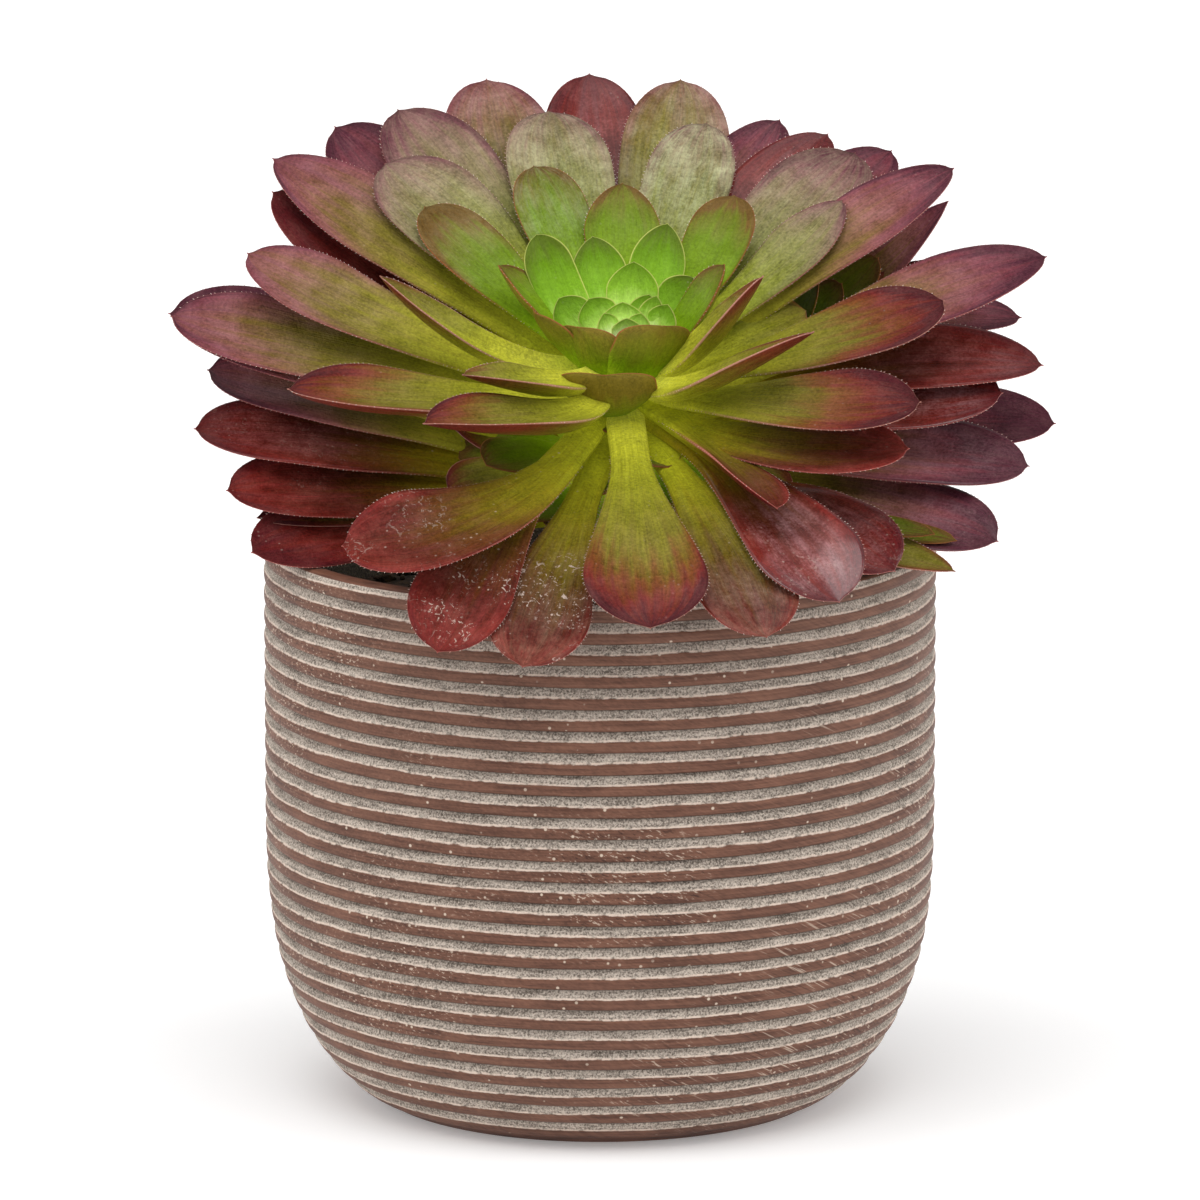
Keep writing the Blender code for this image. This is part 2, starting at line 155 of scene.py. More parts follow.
class Graph:
    """A material's node tree, built up one node at a time."""

    def __init__(self, name: str) -> None:
        """Start a material that has only its Principled shader and its output.

        Args:
            name: the material's name.
        """
        self.material = bpy.data.materials.new(name)
        self.material.use_nodes = True
        self.nodes = self.material.node_tree.nodes
        self.links = self.material.node_tree.links
        self.shader = self.nodes["Principled BSDF"]

    def node(
        self,
        kind: str,
        settings: dict[str, object] | None = None,
        values: dict[str | int, object] | None = None,
        output: int | str = 0,
    ) -> Wire:
        """Add a node.

        Args:
            kind: the node's type.
            settings: its own properties, and "stops" for a ramp's places and colours.
            values: a number, a tuple or a wire for each socket named.
            output: which output to return.

        Returns:
            A wire from that output.
        """
        node = self.nodes.new(kind)
        for key, value in (settings or {}).items():
            if key == "stops":
                self._set_stops(node.color_ramp, value)
            else:
                setattr(node, key, value)
        for key, value in (values or {}).items():
            self.feed(node.inputs[key], value)
        return Wire(self, node.outputs[output])

    @staticmethod
    def _set_stops(ramp: bpy.types.ColorRamp, stops: tuple) -> None:
        """Give a colour ramp its stops.

        Args:
            ramp: the ramp, which has two stops at first.
            stops: a place from 0 to 1 and a colour for each.
        """
        while len(ramp.elements) < len(stops):
            ramp.elements.new(1.0)
        for element, (place, colour) in zip(ramp.elements, stops):
            element.position = place
            element.color = colour

    def feed(self, socket: bpy.types.NodeSocket, value: object) -> None:
        """Link a wire to a socket, or set the socket's own value.

        Args:
            socket: the socket.
            value: the wire, number or tuple that it gets.
        """
        if isinstance(value, Wire):
            self.links.new(value.socket, socket)
        else:
            socket.default_value = value

    def math(self, operation: str, first: Wire | float, second: Wire | float) -> Wire:
        """Return the result of a Math node."""
        return self.node("ShaderNodeMath", {"operation": operation}, {0: first, 1: second})

    def mix(self, factor: Wire | float, first: object, second: object) -> Wire:
        """Return a mix of two colours, by the node's colour sockets."""
        return self.node("ShaderNodeMix", {"data_type": "RGBA"}, {0: factor, 6: first, 7: second}, 2)

    def dimmed(self, colour: Wire, level: Wire) -> Wire:
        """Return a colour made brighter or darker by a level around 1."""
        return self.node("ShaderNodeVectorMath", {"operation": "SCALE"}, {0: colour, "Scale": level})

    def ramp(self, value: Wire, stops: tuple) -> Wire:
        """Return the colour that a ramp gives a value."""
        return self.node("ShaderNodeValToRGB", {"stops": stops}, {"Fac": value})

    def place(self) -> Wire:
        """Return the object's own coordinates, in metres."""
        return self.node("ShaderNodeTexCoord", None, None, "Object")

    def scaled(self, vector: Wire, scale: tuple[float, float, float]) -> Wire:
        """Return a vector scaled along each axis."""
        return self.node("ShaderNodeVectorMath", {"operation": "MULTIPLY"}, {0: vector, 1: scale})

    def slanted(self, vector: Wire, slope: float, squeeze: float) -> Wire:
        """Lean a vector, so that a noise runs in slanting lines on upright faces.

        Args:
            vector: the place on the object.
            slope: how far the lines lean.
            squeeze: how little the noise changes upwards, below 1 for long lines.

        Returns:
            The leaning vector.
        """
        x, y, z = (self.node("ShaderNodeSeparateXYZ", None, {0: vector}, part) for part in "XYZ")
        return self.joined(x + z * slope, y + z * slope, z * squeeze)

    def grain(
        self,
        vector: Wire,
        scale: float,
        detail: float = 2.0,
        roughness: float = 0.5,
        warp: float = 0.0,
    ) -> Wire:
        """Add a noise.

        Args:
            vector: what it is read from.
            scale: how many of its spots fit in one unit of the vector.
            detail: how many finer layers it has.
            roughness: how strong they are.
            warp: how far it is pulled about.

        Returns:
            A value between 0 and 1, around a half.
        """
        values = {
            "Vector": vector,
            "Scale": scale,
            "Detail": detail,
            "Roughness": roughness,
            "Distortion": warp,
        }
        return self.node("ShaderNodeTexNoise", None, values)

    def cells(self, vector: Wire, scale: float) -> Wire:
        """Return the distance to the nearest of a set of scattered points."""
        return self.node("ShaderNodeTexVoronoi", None, {"Vector": vector, "Scale": scale})

    def attribute(self, name: str) -> Wire:
        """Return a value that the mesh holds at its points."""
        return self.node("ShaderNodeAttribute", {"attribute_name": name}, None, "Fac")

    def joined(self, x: Wire | float, y: Wire | float, z: Wire | float) -> Wire:
        """Return a vector made of three values."""
        return self.node("ShaderNodeCombineXYZ", None, {0: x, 1: y, 2: z})

    def bump(self, height: Wire, distance: float) -> None:
        """Give the shader a normal that follows a height, which is the distance where it is 1."""
        values = {"Height": height, "Distance": distance, "Strength": 1.0}
        self.feed(self.shader.inputs["Normal"], self.node("ShaderNodeBump", None, values))

    def paint(self, **values: object) -> None:
        """Set or link the shader's sockets, named with _ for a space."""
        for key, value in values.items():
            self.feed(self.shader.inputs[key.replace("_", " ")], value)


class SkinMap:
    """The values and noises that a leaf's skin is painted from."""

    def __init__(self, graph: Graph) -> None:
        """Read the mesh's values and lay the noises over them.

        Args:
            graph: the material's graph.
        """
        self.across = graph.attribute("across")
        self.along = graph.attribute("along")
        self.under = graph.attribute("under")
        self.gloss = graph.attribute("gloss")
        self.place = graph.place()
        self.edge = abs(self.across)
        self.top = 1.0 - self.under
        self.streaks = self._lines(graph, 5.0, 2.2, 0.6)
        self.fibres = self._lines(graph, 30.0, 7.0, 0.65)
        self.wrinkles = self._lines(graph, 9.0, 14.0, 0.6, 1.2)
        self.blotches = graph.grain(self.place, 120.0, 4.0, 0.65)
        self.pores = graph.grain(self.place, 1300.0, 3.0, 0.65)
        self.ripeness = self._ripeness(graph)

    def _lines(
        self, graph: Graph, across: float, along: float, roughness: float, warp: float = 0.0,
    ) -> Wire:
        """Lay a noise out along the leaf, another one on each leaf.

        Args:
            graph: the material's graph.
            across: how many of its spots fit in half the leaf's width.
            along: how many fit in the leaf's length.
            roughness: how strong its finer layers are.
            warp: how far it is pulled about.

        Returns:
            The noise.
        """
        seed = graph.attribute("seed") * 40.0
        spot = graph.joined(self.across * across, self.along * along, seed)
        return graph.grain(spot, 1.0, 3.0, roughness, warp)

    def _ripeness(self, graph: Graph) -> Wire:
        """Say how ripe each point is.

        Args:
            graph: the material's graph.

        Returns:
            Its share of the length, made uneven, and a little more at the blade's edges.
        """
        shoulders = (self.edge ** 3.0) * self.along.rise(0.3, 0.7) * 0.18
        uneven = (self.streaks - 0.5) * 0.34 + (self.blotches - 0.5) * 0.20
        return self.along + shoulders + uneven + graph.attribute("ripe")


@dataclass(frozen=True)
class LeafSkin:
    """The skin of one kind of leaf, coloured along its length.

    The stops give the colour at shares of the length, as seen on a screen. The haze is
    the dull pale cast of the blade's outer half on its upper face: partly the leaf's wax,
    partly a painted reflection of the bright sky. The sheen is a painted highlight, pale
    patches where the wax would catch the light. The glow is painted light, an emission
    that stands for the light that comes through the pale petioles and the young leaves
    and lightens the shade round the hub, and it fades out along the leaf over its reach.
    The rim's width is in millimetres, and it sets in along the leaf over its own reach.
    """

    name: str
    stops: tuple[tuple[float, tuple[int, int, int]], ...]
    margin: tuple[int, int, int] = (200, 132, 116)
    underside: tuple[int, int, int] = (96, 36, 36)
    underside_share: float = 0.6
    bloom: tuple[int, int, int] = (178, 186, 150)
    haze_and_reflection: tuple[int, int, int] = (168, 142, 146)
    haze_and_reflection_share: float = 0.12
    painted_sheen: tuple[int, int, int] = (190, 160, 164)
    glow: float = 0.18
    glow_reach: tuple[float, float] = (0.1, 0.65)
    mottle: float = 1.15
    rim_width: float = 0.24
    rim_reach: tuple[float, float] = (0.3, 0.65)
    fleck: tuple[int, int, int] = (206, 186, 172)

    def build(self) -> bpy.types.Material:
        """Build the material.

        Returns:
            The material.
        """
        graph = Graph(self.name)
        skin = SkinMap(graph)
        colour = self._ground(graph, skin)
        colour = self._wax_and_painted_light(graph, skin, colour)
        colour = self._flecks(graph, skin, colour)
        colour = self._rim(graph, skin, colour)
        graph.paint(
            Base_Color=colour,
            Roughness=0.50 + (skin.blotches - 0.5) * 0.3 - skin.gloss * 0.12,
            Specular_IOR_Level=0.05,
            Coat_Weight=skin.gloss,
            Coat_Roughness=0.18,
            # Painted light: the leaf gives off its own colour near its foot, lightening the shade round
            # the hub.
            Emission_Color=graph.dimmed(colour, 1.0 - skin.along.rise(*self.glow_reach)),
            Emission_Strength=self.glow,
        )
        relief = skin.fibres * 0.5 + skin.pores * 0.4 + skin.blotches * 0.8
        graph.bump(relief + skin.wrinkles * graph.attribute("bloom"), 0.7 * MM)
        return graph.material

    def _ground(self, graph: Graph, skin: SkinMap) -> Wire:
        """Colour the leaf along its length, and mix its underside towards the underside colour.

        Args:
            graph: the material's graph.
            skin: what the skin is painted from.

        Returns:
            The colour.
        """
        stops = tuple((spot, linear(colour)) for spot, colour in self.stops)
        under = skin.under * skin.ripeness.rise(0.35, 0.85) * self.underside_share
        return graph.mix(under, graph.ramp(skin.ripeness, stops), linear(self.underside))

    def _wax_and_painted_light(self, graph: Graph, skin: SkinMap, colour: Wire) -> Wire:
        """Lay haze and painted reflection, the sheen's painted highlight and bloom on the upper face;
        mottle all.

        Args:
            graph: the material's graph.
            skin: what the skin is painted from.
            colour: the colour so far.

        Returns:
            The colour with its wax, its painted reflection and its painted highlight.
        """
        # The haze: partly wax, partly a painted reflection of the bright sky on the upper face's outer
        # half.
        haze_and_reflection = (skin.streaks * 0.6 + skin.blotches * 0.6).rise(0.35, 0.85) * skin.along.rise(0.4, 0.8)
        haze_and_reflection = haze_and_reflection * skin.top * (1.0 - skin.ripeness.rise(0.85, 1.05))
        colour = graph.mix(haze_and_reflection * self.haze_and_reflection_share, colour, linear(self.haze_and_reflection))
        # The sheen: a painted highlight, pale patches where the wax would catch the light, as strong as
        # the gloss.
        painted_sheen = (skin.streaks * 0.5 + skin.blotches * 0.4 + skin.pores * 0.3).rise(0.50, 0.74)
        painted_sheen = painted_sheen * skin.along.rise(0.45, 0.75) * (1.0 - skin.along.rise(0.88, 1.0))
        painted_sheen = painted_sheen * (1.0 - skin.edge).rise(0.05, 0.5) * skin.top
        colour = graph.mix(painted_sheen * skin.gloss * 0.26, colour, linear(self.painted_sheen))
        frost = (skin.wrinkles * 0.6 + skin.blotches * 0.6).rise(0.35, 0.90) * skin.along.rise(0.3, 0.75)
        colour = graph.mix(frost * skin.top * graph.attribute("bloom"), colour, linear(self.bloom))
        shade = (skin.fibres - 0.5) * 0.7 + (skin.blotches - 0.5) * 1.1 + (skin.pores - 0.5) * 1.2
        return graph.dimmed(colour, 1.0 + shade * self.mottle)

    def _flecks(self, graph: Graph, skin: SkinMap, colour: Wire) -> Wire:
        """Add pale dots and scabs to the upper face.

        Args:
            graph: the material's graph.
            skin: what the skin is painted from.
            colour: the colour so far.

        Returns:
            The colour with its flecks.
        """
        amount = graph.attribute("specks")
        dots = 1.0 - graph.cells(skin.place, 420.0).rise(0.08, 0.18)
        dots = dots * graph.grain(skin.place, 110.0).rise(0.50, 0.70)
        scabs = graph.grain(skin.place, 520.0, 3.0, 0.7, 1.5).rise(0.58, 0.66)
        scabs = scabs * graph.grain(skin.place, 60.0).rise(0.46, 0.60) * skin.along.rise(0.3, 0.7)
        return graph.mix(dots.larger(scabs * amount) * amount * skin.top, colour, linear(self.fleck))

    def _rim(self, graph: Graph, skin: SkinMap, colour: Wire) -> Wire:
        """Draw the pale line of the margin.

        Args:
            graph: the material's graph.
            skin: what the skin is painted from.
            colour: the colour so far.

        Returns:
            The colour with its rim.
        """
        inwards = (1.0 - skin.edge) * graph.attribute("half")
        line = 1.0 - (inwards + (skin.blotches - 0.5) * 0.2).rise(0.06, self.rim_width)
        return graph.mix(line * skin.along.rise(*self.rim_reach) * 0.8, colour, linear(self.margin))


class Tint(Enum):
    """How far a leaf has turned from the green heart to the dark rim."""

    # The heart's very pale foot is partly its own colour, partly painted light against the shade deep in
    # the heart.
    HEART = LeafSkin(
        "leaf_heart_skin",
        ((0.0, (236, 250, 180)), (0.25, (192, 230, 104)), (0.5, (138, 186, 44)), (0.8, (110, 152, 20)),
         (1.0, (98, 120, 28))),
        margin=(212, 214, 116), underside=(112, 128, 26), underside_share=0.5, haze_and_reflection_share=0.0,
        glow=0.14, glow_reach=(0.4, 1.2), mottle=0.5, rim_width=0.45, rim_reach=(0.0, 0.3),
    )
    # The green leaves' pale underside is partly their own colour, partly painted light that lifts the
    # shade under the low front leaves.
    GREEN = LeafSkin(
        "leaf_green_skin",
        ((0.0, (196, 212, 60)), (0.45, (134, 170, 22)), (0.75, (114, 142, 20)), (0.92, (114, 116, 28)),
         (1.0, (114, 84, 36))),
        margin=(172, 100, 60), underside=(158, 146, 52), underside_share=0.5, haze_and_reflection_share=0.04,
        mottle=0.8, rim_width=0.34,
    )
    BLOOM = LeafSkin(
        "leaf_bloom_skin",
        ((0.0, (172, 178, 44)), (0.4, (136, 144, 38)), (0.65, (136, 134, 70)), (0.85, (136, 110, 88)),
         (0.95, (128, 78, 84)), (1.0, (102, 52, 64))),
        margin=(170, 106, 98), bloom=(180, 184, 142), haze_and_reflection_share=0.08,
    )
    OLIVE = LeafSkin(
        "leaf_olive_skin",
        ((0.0, (218, 218, 76)), (0.22, (186, 186, 50)), (0.42, (144, 144, 32)), (0.68, (124, 114, 34)),
         (0.82, (120, 66, 24)), (0.92, (112, 32, 28)), (1.0, (82, 22, 32))),
        margin=(200, 140, 124), underside=(106, 44, 30), underside_share=0.8, haze_and_reflection_share=0.04,
    )
    ROSE = LeafSkin(
        "leaf_rose_skin",
        ((0.0, (174, 178, 42)), (0.4, (144, 138, 38)), (0.62, (126, 102, 46)), (0.78, (136, 78, 70)),
         (0.90, (126, 56, 68)), (1.0, (88, 38, 54))),
        margin=(184, 112, 106), haze_and_reflection=(170, 150, 160), haze_and_reflection_share=0.14,
    )
    BURGUNDY = LeafSkin(
        "leaf_burgundy_skin",
        ((0.0, (166, 168, 34)), (0.3, (128, 114, 18)), (0.5, (98, 58, 10)), (0.66, (94, 24, 12)),
         (0.85, (126, 32, 28)), (1.0, (98, 24, 32))),
        margin=(192, 110, 100), haze_and_reflection_share=0.03,
    )

    @property
    def slot(self) -> str:
        """Return the record's material slot of leaves of this tint."""
        return "leaf_green" if self is Tint.HEART else "leaf_" + self.name.lower()


@dataclass(frozen=True)
class Leaf:
    """One leaf, in millimetres and degrees.

    The tip is a point. The bow lifts the midline off the straight line to the tip,
    and the sway pushes it sideways, clockwise as seen from above, both most at the
    bend, a share of the length. The neck is the share at which the blade has half
    opened. The turn rolls the blade about its midline, and the cup raises its edges
    as a share of its half width. The foot is the petiole's width as a share of the
    blade's, and the point says how sharp the tip is. Ripe moves the colours towards
    the foot. Bloom, gloss and specks say how much of each the skin has; the gloss
    also sets how much sheen, a painted highlight, is laid on it. The root is where
    the leaf starts, for leaves that aren't seated on the stem.
    """

    name: str
    tip: tuple[float, float, float]
    width: float
    bow: float = 4.0
    sway: float = 0.0
    turn: float = 0.0
    cup: float = 0.16
    neck: float = 0.42
    bend: float = 0.5
    tint: Tint = Tint.BURGUNDY
    foot: float = 0.30
    point: float = 0.1
    ripe: float = 0.0
    bloom: float = 0.05
    gloss: float = 0.05
    specks: float = 0.15
    root: tuple[float, float, float] | None = None


PINK, DULL, FRESH, FROST, CORE = Tint.ROSE, Tint.OLIVE, Tint.GREEN, Tint.BLOOM, Tint.HEART

# From the lowest seat on the stem to the highest.
LEAVES = (
    Leaf("leaf_01", (-92, -42, 156), 27, 1, 3, ripe=0.05, specks=0.4),
    Leaf("leaf_02", (93, -62, 155), 16, 1, tint=DULL, point=0.6, ripe=-0.25),
    Leaf("leaf_03", (77, -72, 157), 30, 6, gloss=0.6, specks=0.4),
    Leaf("leaf_04", (-20, -108, 139), 29, 8, -1, cup=0.1, neck=0.6, bend=0.65, ripe=-0.2, bloom=0.15,
         specks=1.0),
    Leaf("leaf_05", (105, -42, 159), 28, 1, -2, tint=PINK, ripe=0.08, gloss=0.4),
    Leaf("leaf_06", (114, -20, 175), 27, 5, 1, tint=PINK, ripe=0.1, gloss=0.4),
    Leaf("leaf_07", (122, 4, 182), 26, 1, -4, tint=PINK, ripe=0.14),
    Leaf("leaf_08", (-99, -28, 170), 27, 2, ripe=-0.06, specks=0.35),
    Leaf("leaf_09", (-42, -104, 142), 29, 11, 1, cup=0.1, neck=0.6, bend=0.65, ripe=-0.14, specks=1.0),
    Leaf("leaf_10", (43, -104, 146), 28, 7, cup=0.1, neck=0.55, bend=0.65, ripe=-0.24, bloom=0.15,
         gloss=0.2, specks=0.3),
    Leaf("leaf_11", (-108, -14, 184), 26, 4, ripe=-0.04, gloss=0.3, specks=0.4),
    Leaf("leaf_12", (-105, 2, 197), 29, 5, tint=PINK, ripe=-0.04, gloss=0.3),
    Leaf("leaf_13", (62, -93, 153), 31, 7.5, neck=0.55, bend=0.6, gloss=1.0, specks=0.5),
    Leaf("leaf_14", (13, -112, 150), 35, 8, 1, cup=0.1, neck=0.6, bend=0.65, tint=DULL, ripe=0.0),
    Leaf("leaf_15", (-67, -88, 167), 31, 6, -21, neck=0.55, bend=0.66, ripe=-0.2, specks=0.6),
    Leaf("leaf_16", (107, -16, 194), 30, 4, gloss=0.9),
    Leaf("leaf_17", (118, -8, 200), 26, 8, -3, gloss=0.4, point=0.3),
    Leaf("leaf_18", (113, 14, 209), 18, 11, -2, tint=PINK),
    Leaf("leaf_19", (-115, -2, 213), 33, 5, 2, tint=PINK),
    Leaf("leaf_20", (-88, 22, 242), 26, 2, ripe=0.1),
    Leaf("leaf_21", (-72, 52, 255), 32, 0, 3, tint=PINK),
    Leaf("leaf_22", (-31, 72, 265), 32, 4, -5, tint=PINK, ripe=-0.18, bloom=0.2),
    Leaf("leaf_23", (-3, 82, 265), 29, 1, gloss=0.3),
    Leaf("leaf_24", (22, 78, 264), 30, 1, 3, tint=PINK, ripe=-0.28, bloom=0.3),
    Leaf("leaf_25", (49, 64, 255), 25, 1, -3, tint=PINK, point=0.3),
    Leaf("leaf_26", (62, 58, 252), 25, 3, -3, gloss=0.3, point=0.3),
    Leaf("leaf_27", (79, 48, 249), 24, 3, tint=PINK),
    Leaf("leaf_28", (119, 0, 228), 26, 4, 2, bend=0.6, tint=PINK, point=0.45, ripe=0.06),
    Leaf("leaf_29", (-114, -12, 214), 29, 3, -4, neck=0.46, tint=PINK, ripe=-0.1),
    Leaf("leaf_30", (-94, 0, 229), 25, 4, -9, neck=0.48, tint=PINK, ripe=-0.16),
    Leaf("leaf_31", (-88, 28, 250), 28, 2, tint=PINK, point=0.4, ripe=-0.1),
    Leaf("leaf_32", (81, -58, 187), 25, 4, 16, neck=0.5, ripe=-0.22),
    Leaf("leaf_33", (46, -84, 176), 18, 1, turn=-24, cup=0.4, neck=0.7, ripe=-0.3),
    Leaf("leaf_34", (84, -56, 199), 28, 6, 13, neck=0.52, tint=DULL, ripe=0.04),
    Leaf("leaf_35", (-82, -48, 201), 26, 4, -14, turn=12, cup=0.4, neck=0.5, tint=DULL, ripe=-0.04),
    Leaf("leaf_36", (-46, -76, 197), 24, 2, -15, turn=11, cup=0.45, neck=0.5, tint=DULL, ripe=-0.08),
    Leaf("leaf_37", (95, 24, 248), 22, 4, -1, bend=0.6, tint=PINK, point=0.5, ripe=0.04),
    Leaf("leaf_38", (69, 44, 249), 30, 3, 2, tint=FROST, ripe=0.05, bloom=0.3),
    Leaf("leaf_39", (29, 58, 255), 24, 1, tint=FROST, ripe=-0.1, bloom=0.75),
    Leaf("leaf_40", (-14, 60, 258), 29, 2, -2, tint=FROST, ripe=-0.1, bloom=0.5),
    Leaf("leaf_41", (-55, 56, 259), 30, 0, neck=0.44, tint=FROST, bloom=0.2),
    Leaf("leaf_42", (-58, 32, 248), 30, 2, tint=FROST, ripe=-0.08, bloom=0.3),
    Leaf("leaf_43", (91, -22, 220), 26, 4, 10, neck=0.48, tint=DULL, ripe=0.03),
    Leaf("leaf_44", (65, 20, 240), 18, 2, 5, neck=0.5, tint=FROST, point=0.4, ripe=-0.08, bloom=0.2),
    Leaf("leaf_45", (-47, 15, 239), 21, 1, -2, tint=FRESH, ripe=0.1, bloom=0.15),
    Leaf("leaf_46", (-58, -30, 228), 12, -3, -9, turn=6, cup=0.7, tint=DULL, point=0.6, ripe=-0.25),
    Leaf("leaf_47", (-36, -60, 207), 17, 0, -8, turn=9, cup=0.45, neck=0.5, tint=DULL, point=0.6,
         ripe=-0.25),
    Leaf("leaf_48", (56, -52, 217), 20, 0, 15, turn=-12, cup=0.4, neck=0.5, tint=DULL, point=0.7,
         ripe=-0.16),
    Leaf("leaf_49", (43, -30, 228), 19, 0, 10, turn=-18, cup=0.4, tint=DULL, point=0.6, ripe=-0.2),
    Leaf("leaf_50", (36, 22, 241), 18, 1, 4, tint=FRESH, ripe=0.04),
    Leaf("leaf_51", (-18, 34, 247), 20, 0, tint=FRESH, bloom=0.35),
    Leaf("leaf_52", (6, 30, 243), 21, 0, tint=FRESH, point=0.5),
    Leaf("leaf_53", (-27, -8, 227), 15, 0, -1.5, turn=20, cup=0.35, tint=FRESH, foot=0.5, point=0.5),
    Leaf("leaf_54", (33, -12, 228), 13, 0, 3, turn=-14, cup=0.4, tint=FRESH, point=0.3, foot=0.5),
)


def heart_leaf(
    name: str,
    tip: tuple[float, float, float],
    width: float,
    root: tuple[float, float, float],
    point: float = 0.5,
    ripe: float = 0.0,
) -> Leaf:
    """Return an inner leaf of the heart, which is broad from its foot on.

    Args:
        name: the leaf's name.
        tip: where its tip is, in millimetres.
        width: its width, in millimetres.
        root: where it starts, in millimetres.
        point: how sharp its tip is.
        ripe: how far its colours have moved towards the foot.

    Returns:
        The leaf.
    """
    shape = {"bow": -1, "cup": 0.3, "neck": 0.05, "foot": 0.75}
    return Leaf(name, tip, width, **shape, tint=CORE, point=point, ripe=ripe, root=root)


# The heart, from its outer leaves to its inner ones.
HEART_LEAVES = (
    Leaf("front_low", (1, -44, 204), 26, -4, cup=0.3, neck=0.3, tint=FRESH, ripe=0.22,
         root=(4, -18, 191)),
    Leaf("front_right", (17, -32, 215), 22, -2, cup=0.3, neck=0.1, tint=FRESH, foot=0.6,
         root=(7, -18, 195)),
    Leaf("front", (-6, -28, 214), 20, -2, cup=0.3, neck=0.1, tint=FRESH, foot=0.6, root=(4, -17, 196)),
    Leaf("front_left", (-17, -24, 217), 16, -2, turn=28, cup=0.3, neck=0.1, tint=FRESH, foot=0.6,
         point=0.3, root=(1, -14, 200)),
    heart_leaf("left", (-17, 0, 234), 13, (-5, -11, 207), 0.4, 0.1),
    heart_leaf("back_left", (-2, 3, 233), 15, (3, -9, 207), 0.7),
    heart_leaf("back_right", (18, 6, 236), 15, (10, -9, 207), 0.7, 0.04),
    heart_leaf("right", (25, -4, 223), 13, (13, -12, 207), 0.5),
    heart_leaf("back_middle", (9, -8, 228), 14, (8, -12, 208), 0.7, -0.2),
    heart_leaf("left_middle", (-11, -13, 219), 11, (0, -14, 206), 0.5, -0.2),
    heart_leaf("small_left", (-3, -14, 219), 11, (4, -15, 207), 0.4, -0.3),
    heart_leaf("small_right", (13, -13, 220), 9, (10, -14, 207), 0.5, -0.3),
    heart_leaf("narrow_right", (15, -15, 220), 7, (11, -16, 207), 0.7, -0.3),
    heart_leaf("low_right", (18, -17, 218), 9, (14, -16, 206), 0.6, -0.25),
    heart_leaf("small_front", (6, -16, 218.5), 11, (6, -17, 207), 0.6, -0.45),
    heart_leaf("inner_right", (11, -19, 216), 7, (9, -18, 206), 0.5, -0.5),
    heart_leaf("inner_left", (1, -19, 216), 7, (4, -18, 206), 0.5, -0.5),
    heart_leaf("inner_front", (7, -21, 215), 8, (7, -19, 206), 0.4, -0.6),
)

# Young leaves low on the stem, seen through the gaps in front.
STEM_LEAVES = (
    Leaf("gap_left", (-30, -45, 180), 18, 3, tint=FRESH, neck=0.3),
    Leaf("gap_front_left", (-3, -52, 173), 12, 3, tint=FRESH, neck=0.3),
    Leaf("gap_front_right", (18, -48, 180), 12, 3, tint=FRESH, neck=0.3),
    Leaf("gap_front", (2, -36, 187), 7, 2, tint=FRESH, neck=0.3),
    Leaf("gap_right_low", (94, -46, 160), 10, 2, tint=FRESH),
    Leaf("gap_right", (88, -52, 163), 10, 2, tint=FRESH),
    Leaf("gap_far_left", (-91, -30, 163), 12, 2, tint=DULL),
    Leaf("gap_high_right", (55, 2, 213), 20, 3, tint=DULL, ripe=-0.3),
)
# How far below the stem's top each of them is seated, in millimetres.
STEM_LEAF_DEPTHS = (30, 34, 30, 18, 44, 44, 46, 14)


@dataclass(frozen=True)
class StemLine:
    """The stem's midline and thickness, which the leaves are seated on."""

    path: tuple[Vector, ...] = (
        Vector((0.0, 0.0, 107.0)) * MM,
        Vector((0.0, 0.0, 133.0)) * MM,
        Vector((1.0, 1.5, 143.0)) * MM,
        Vector((3.0, 1.5, 152.0)) * MM,
        Vector((6.0, -10.0, 202.0)) * MM,
    )
    radius: float = 10 * MM
    top_radius: float = 7.5 * MM
    petiole_root: float = 1.0 * MM

    @property
    def top(self) -> Vector:
        """Return the top of the stem."""
        return self.path[-1]

    @property
    def along(self) -> Vector:
        """Return the direction of the leafy stretch, upwards."""
        return (self.path[-1] - self.path[-2]).normalized()

    def seat(self, depth: float) -> Vector:
        """Return the point of the midline at a distance below the top."""
        return self.top - self.along * depth

    def girth(self, depth: float) -> float:
        """Return the radius at a distance below the top."""
        share = min(depth / (self.path[-2] - self.top).length, 1.0)
        return self.top_radius + (self.radius - self.top_radius) * share

    def foot_of(self, leaf: Leaf, depth: float) -> Vector:
        """Find where a leaf's petiole leaves the stem.

        Args:
            leaf: the leaf.
            depth: how far below the stem's top it is seated.

        Returns:
            The petiole's first point.
        """
        seat = self.seat(depth)
        away = Vector(leaf.tip) * MM - seat
        away = (away - self.along * away.dot(self.along)).normalized()
        return seat + away * (self.girth(depth) - self.petiole_root)


@dataclass(frozen=True)
class Seating:
    """How the petioles stack on the stem, from the highest leaf down."""

    stem: StemLine
    first_depth: float = 1.5 * MM
    step: float = 2.3 * MM
    spread: float = radians(27)
    neighbour_step: float = 0.5 * MM
    neighbour_spread: float = radians(45)

    def heading(self, leaf: Leaf) -> Vector:
        """Find which way a leaf grows.

        Args:
            leaf: the leaf.

        Returns:
            The direction of its tip around the stem.
        """
        along = self.stem.along
        away = Vector(leaf.tip) * MM - self.stem.top
        return (away - along * away.dot(along)).normalized()

    def depths(self, leaves: tuple[Leaf, ...]) -> dict[str, float]:
        """Seat leaves from the top down.

        Args:
            leaves: the leaves, from the lowest to the highest.

        Returns:
            How far below the stem's top each leaf is seated.
        """
        seats: dict[str, float] = {}
        placed: list[tuple[Vector, float]] = []
        for leaf in reversed(leaves):
            heading = self.heading(leaf)
            depth = self.first_depth
            for other, seat in placed:
                apart = acos(min(max(heading.dot(other), -1.0), 1.0))
                if apart < self.spread:
                    depth = max(depth, seat + self.step)
                elif apart < self.neighbour_spread:
                    depth = max(depth, seat + self.neighbour_step)
            seats[leaf.name] = depth
            placed.append((heading, depth))
        return seats


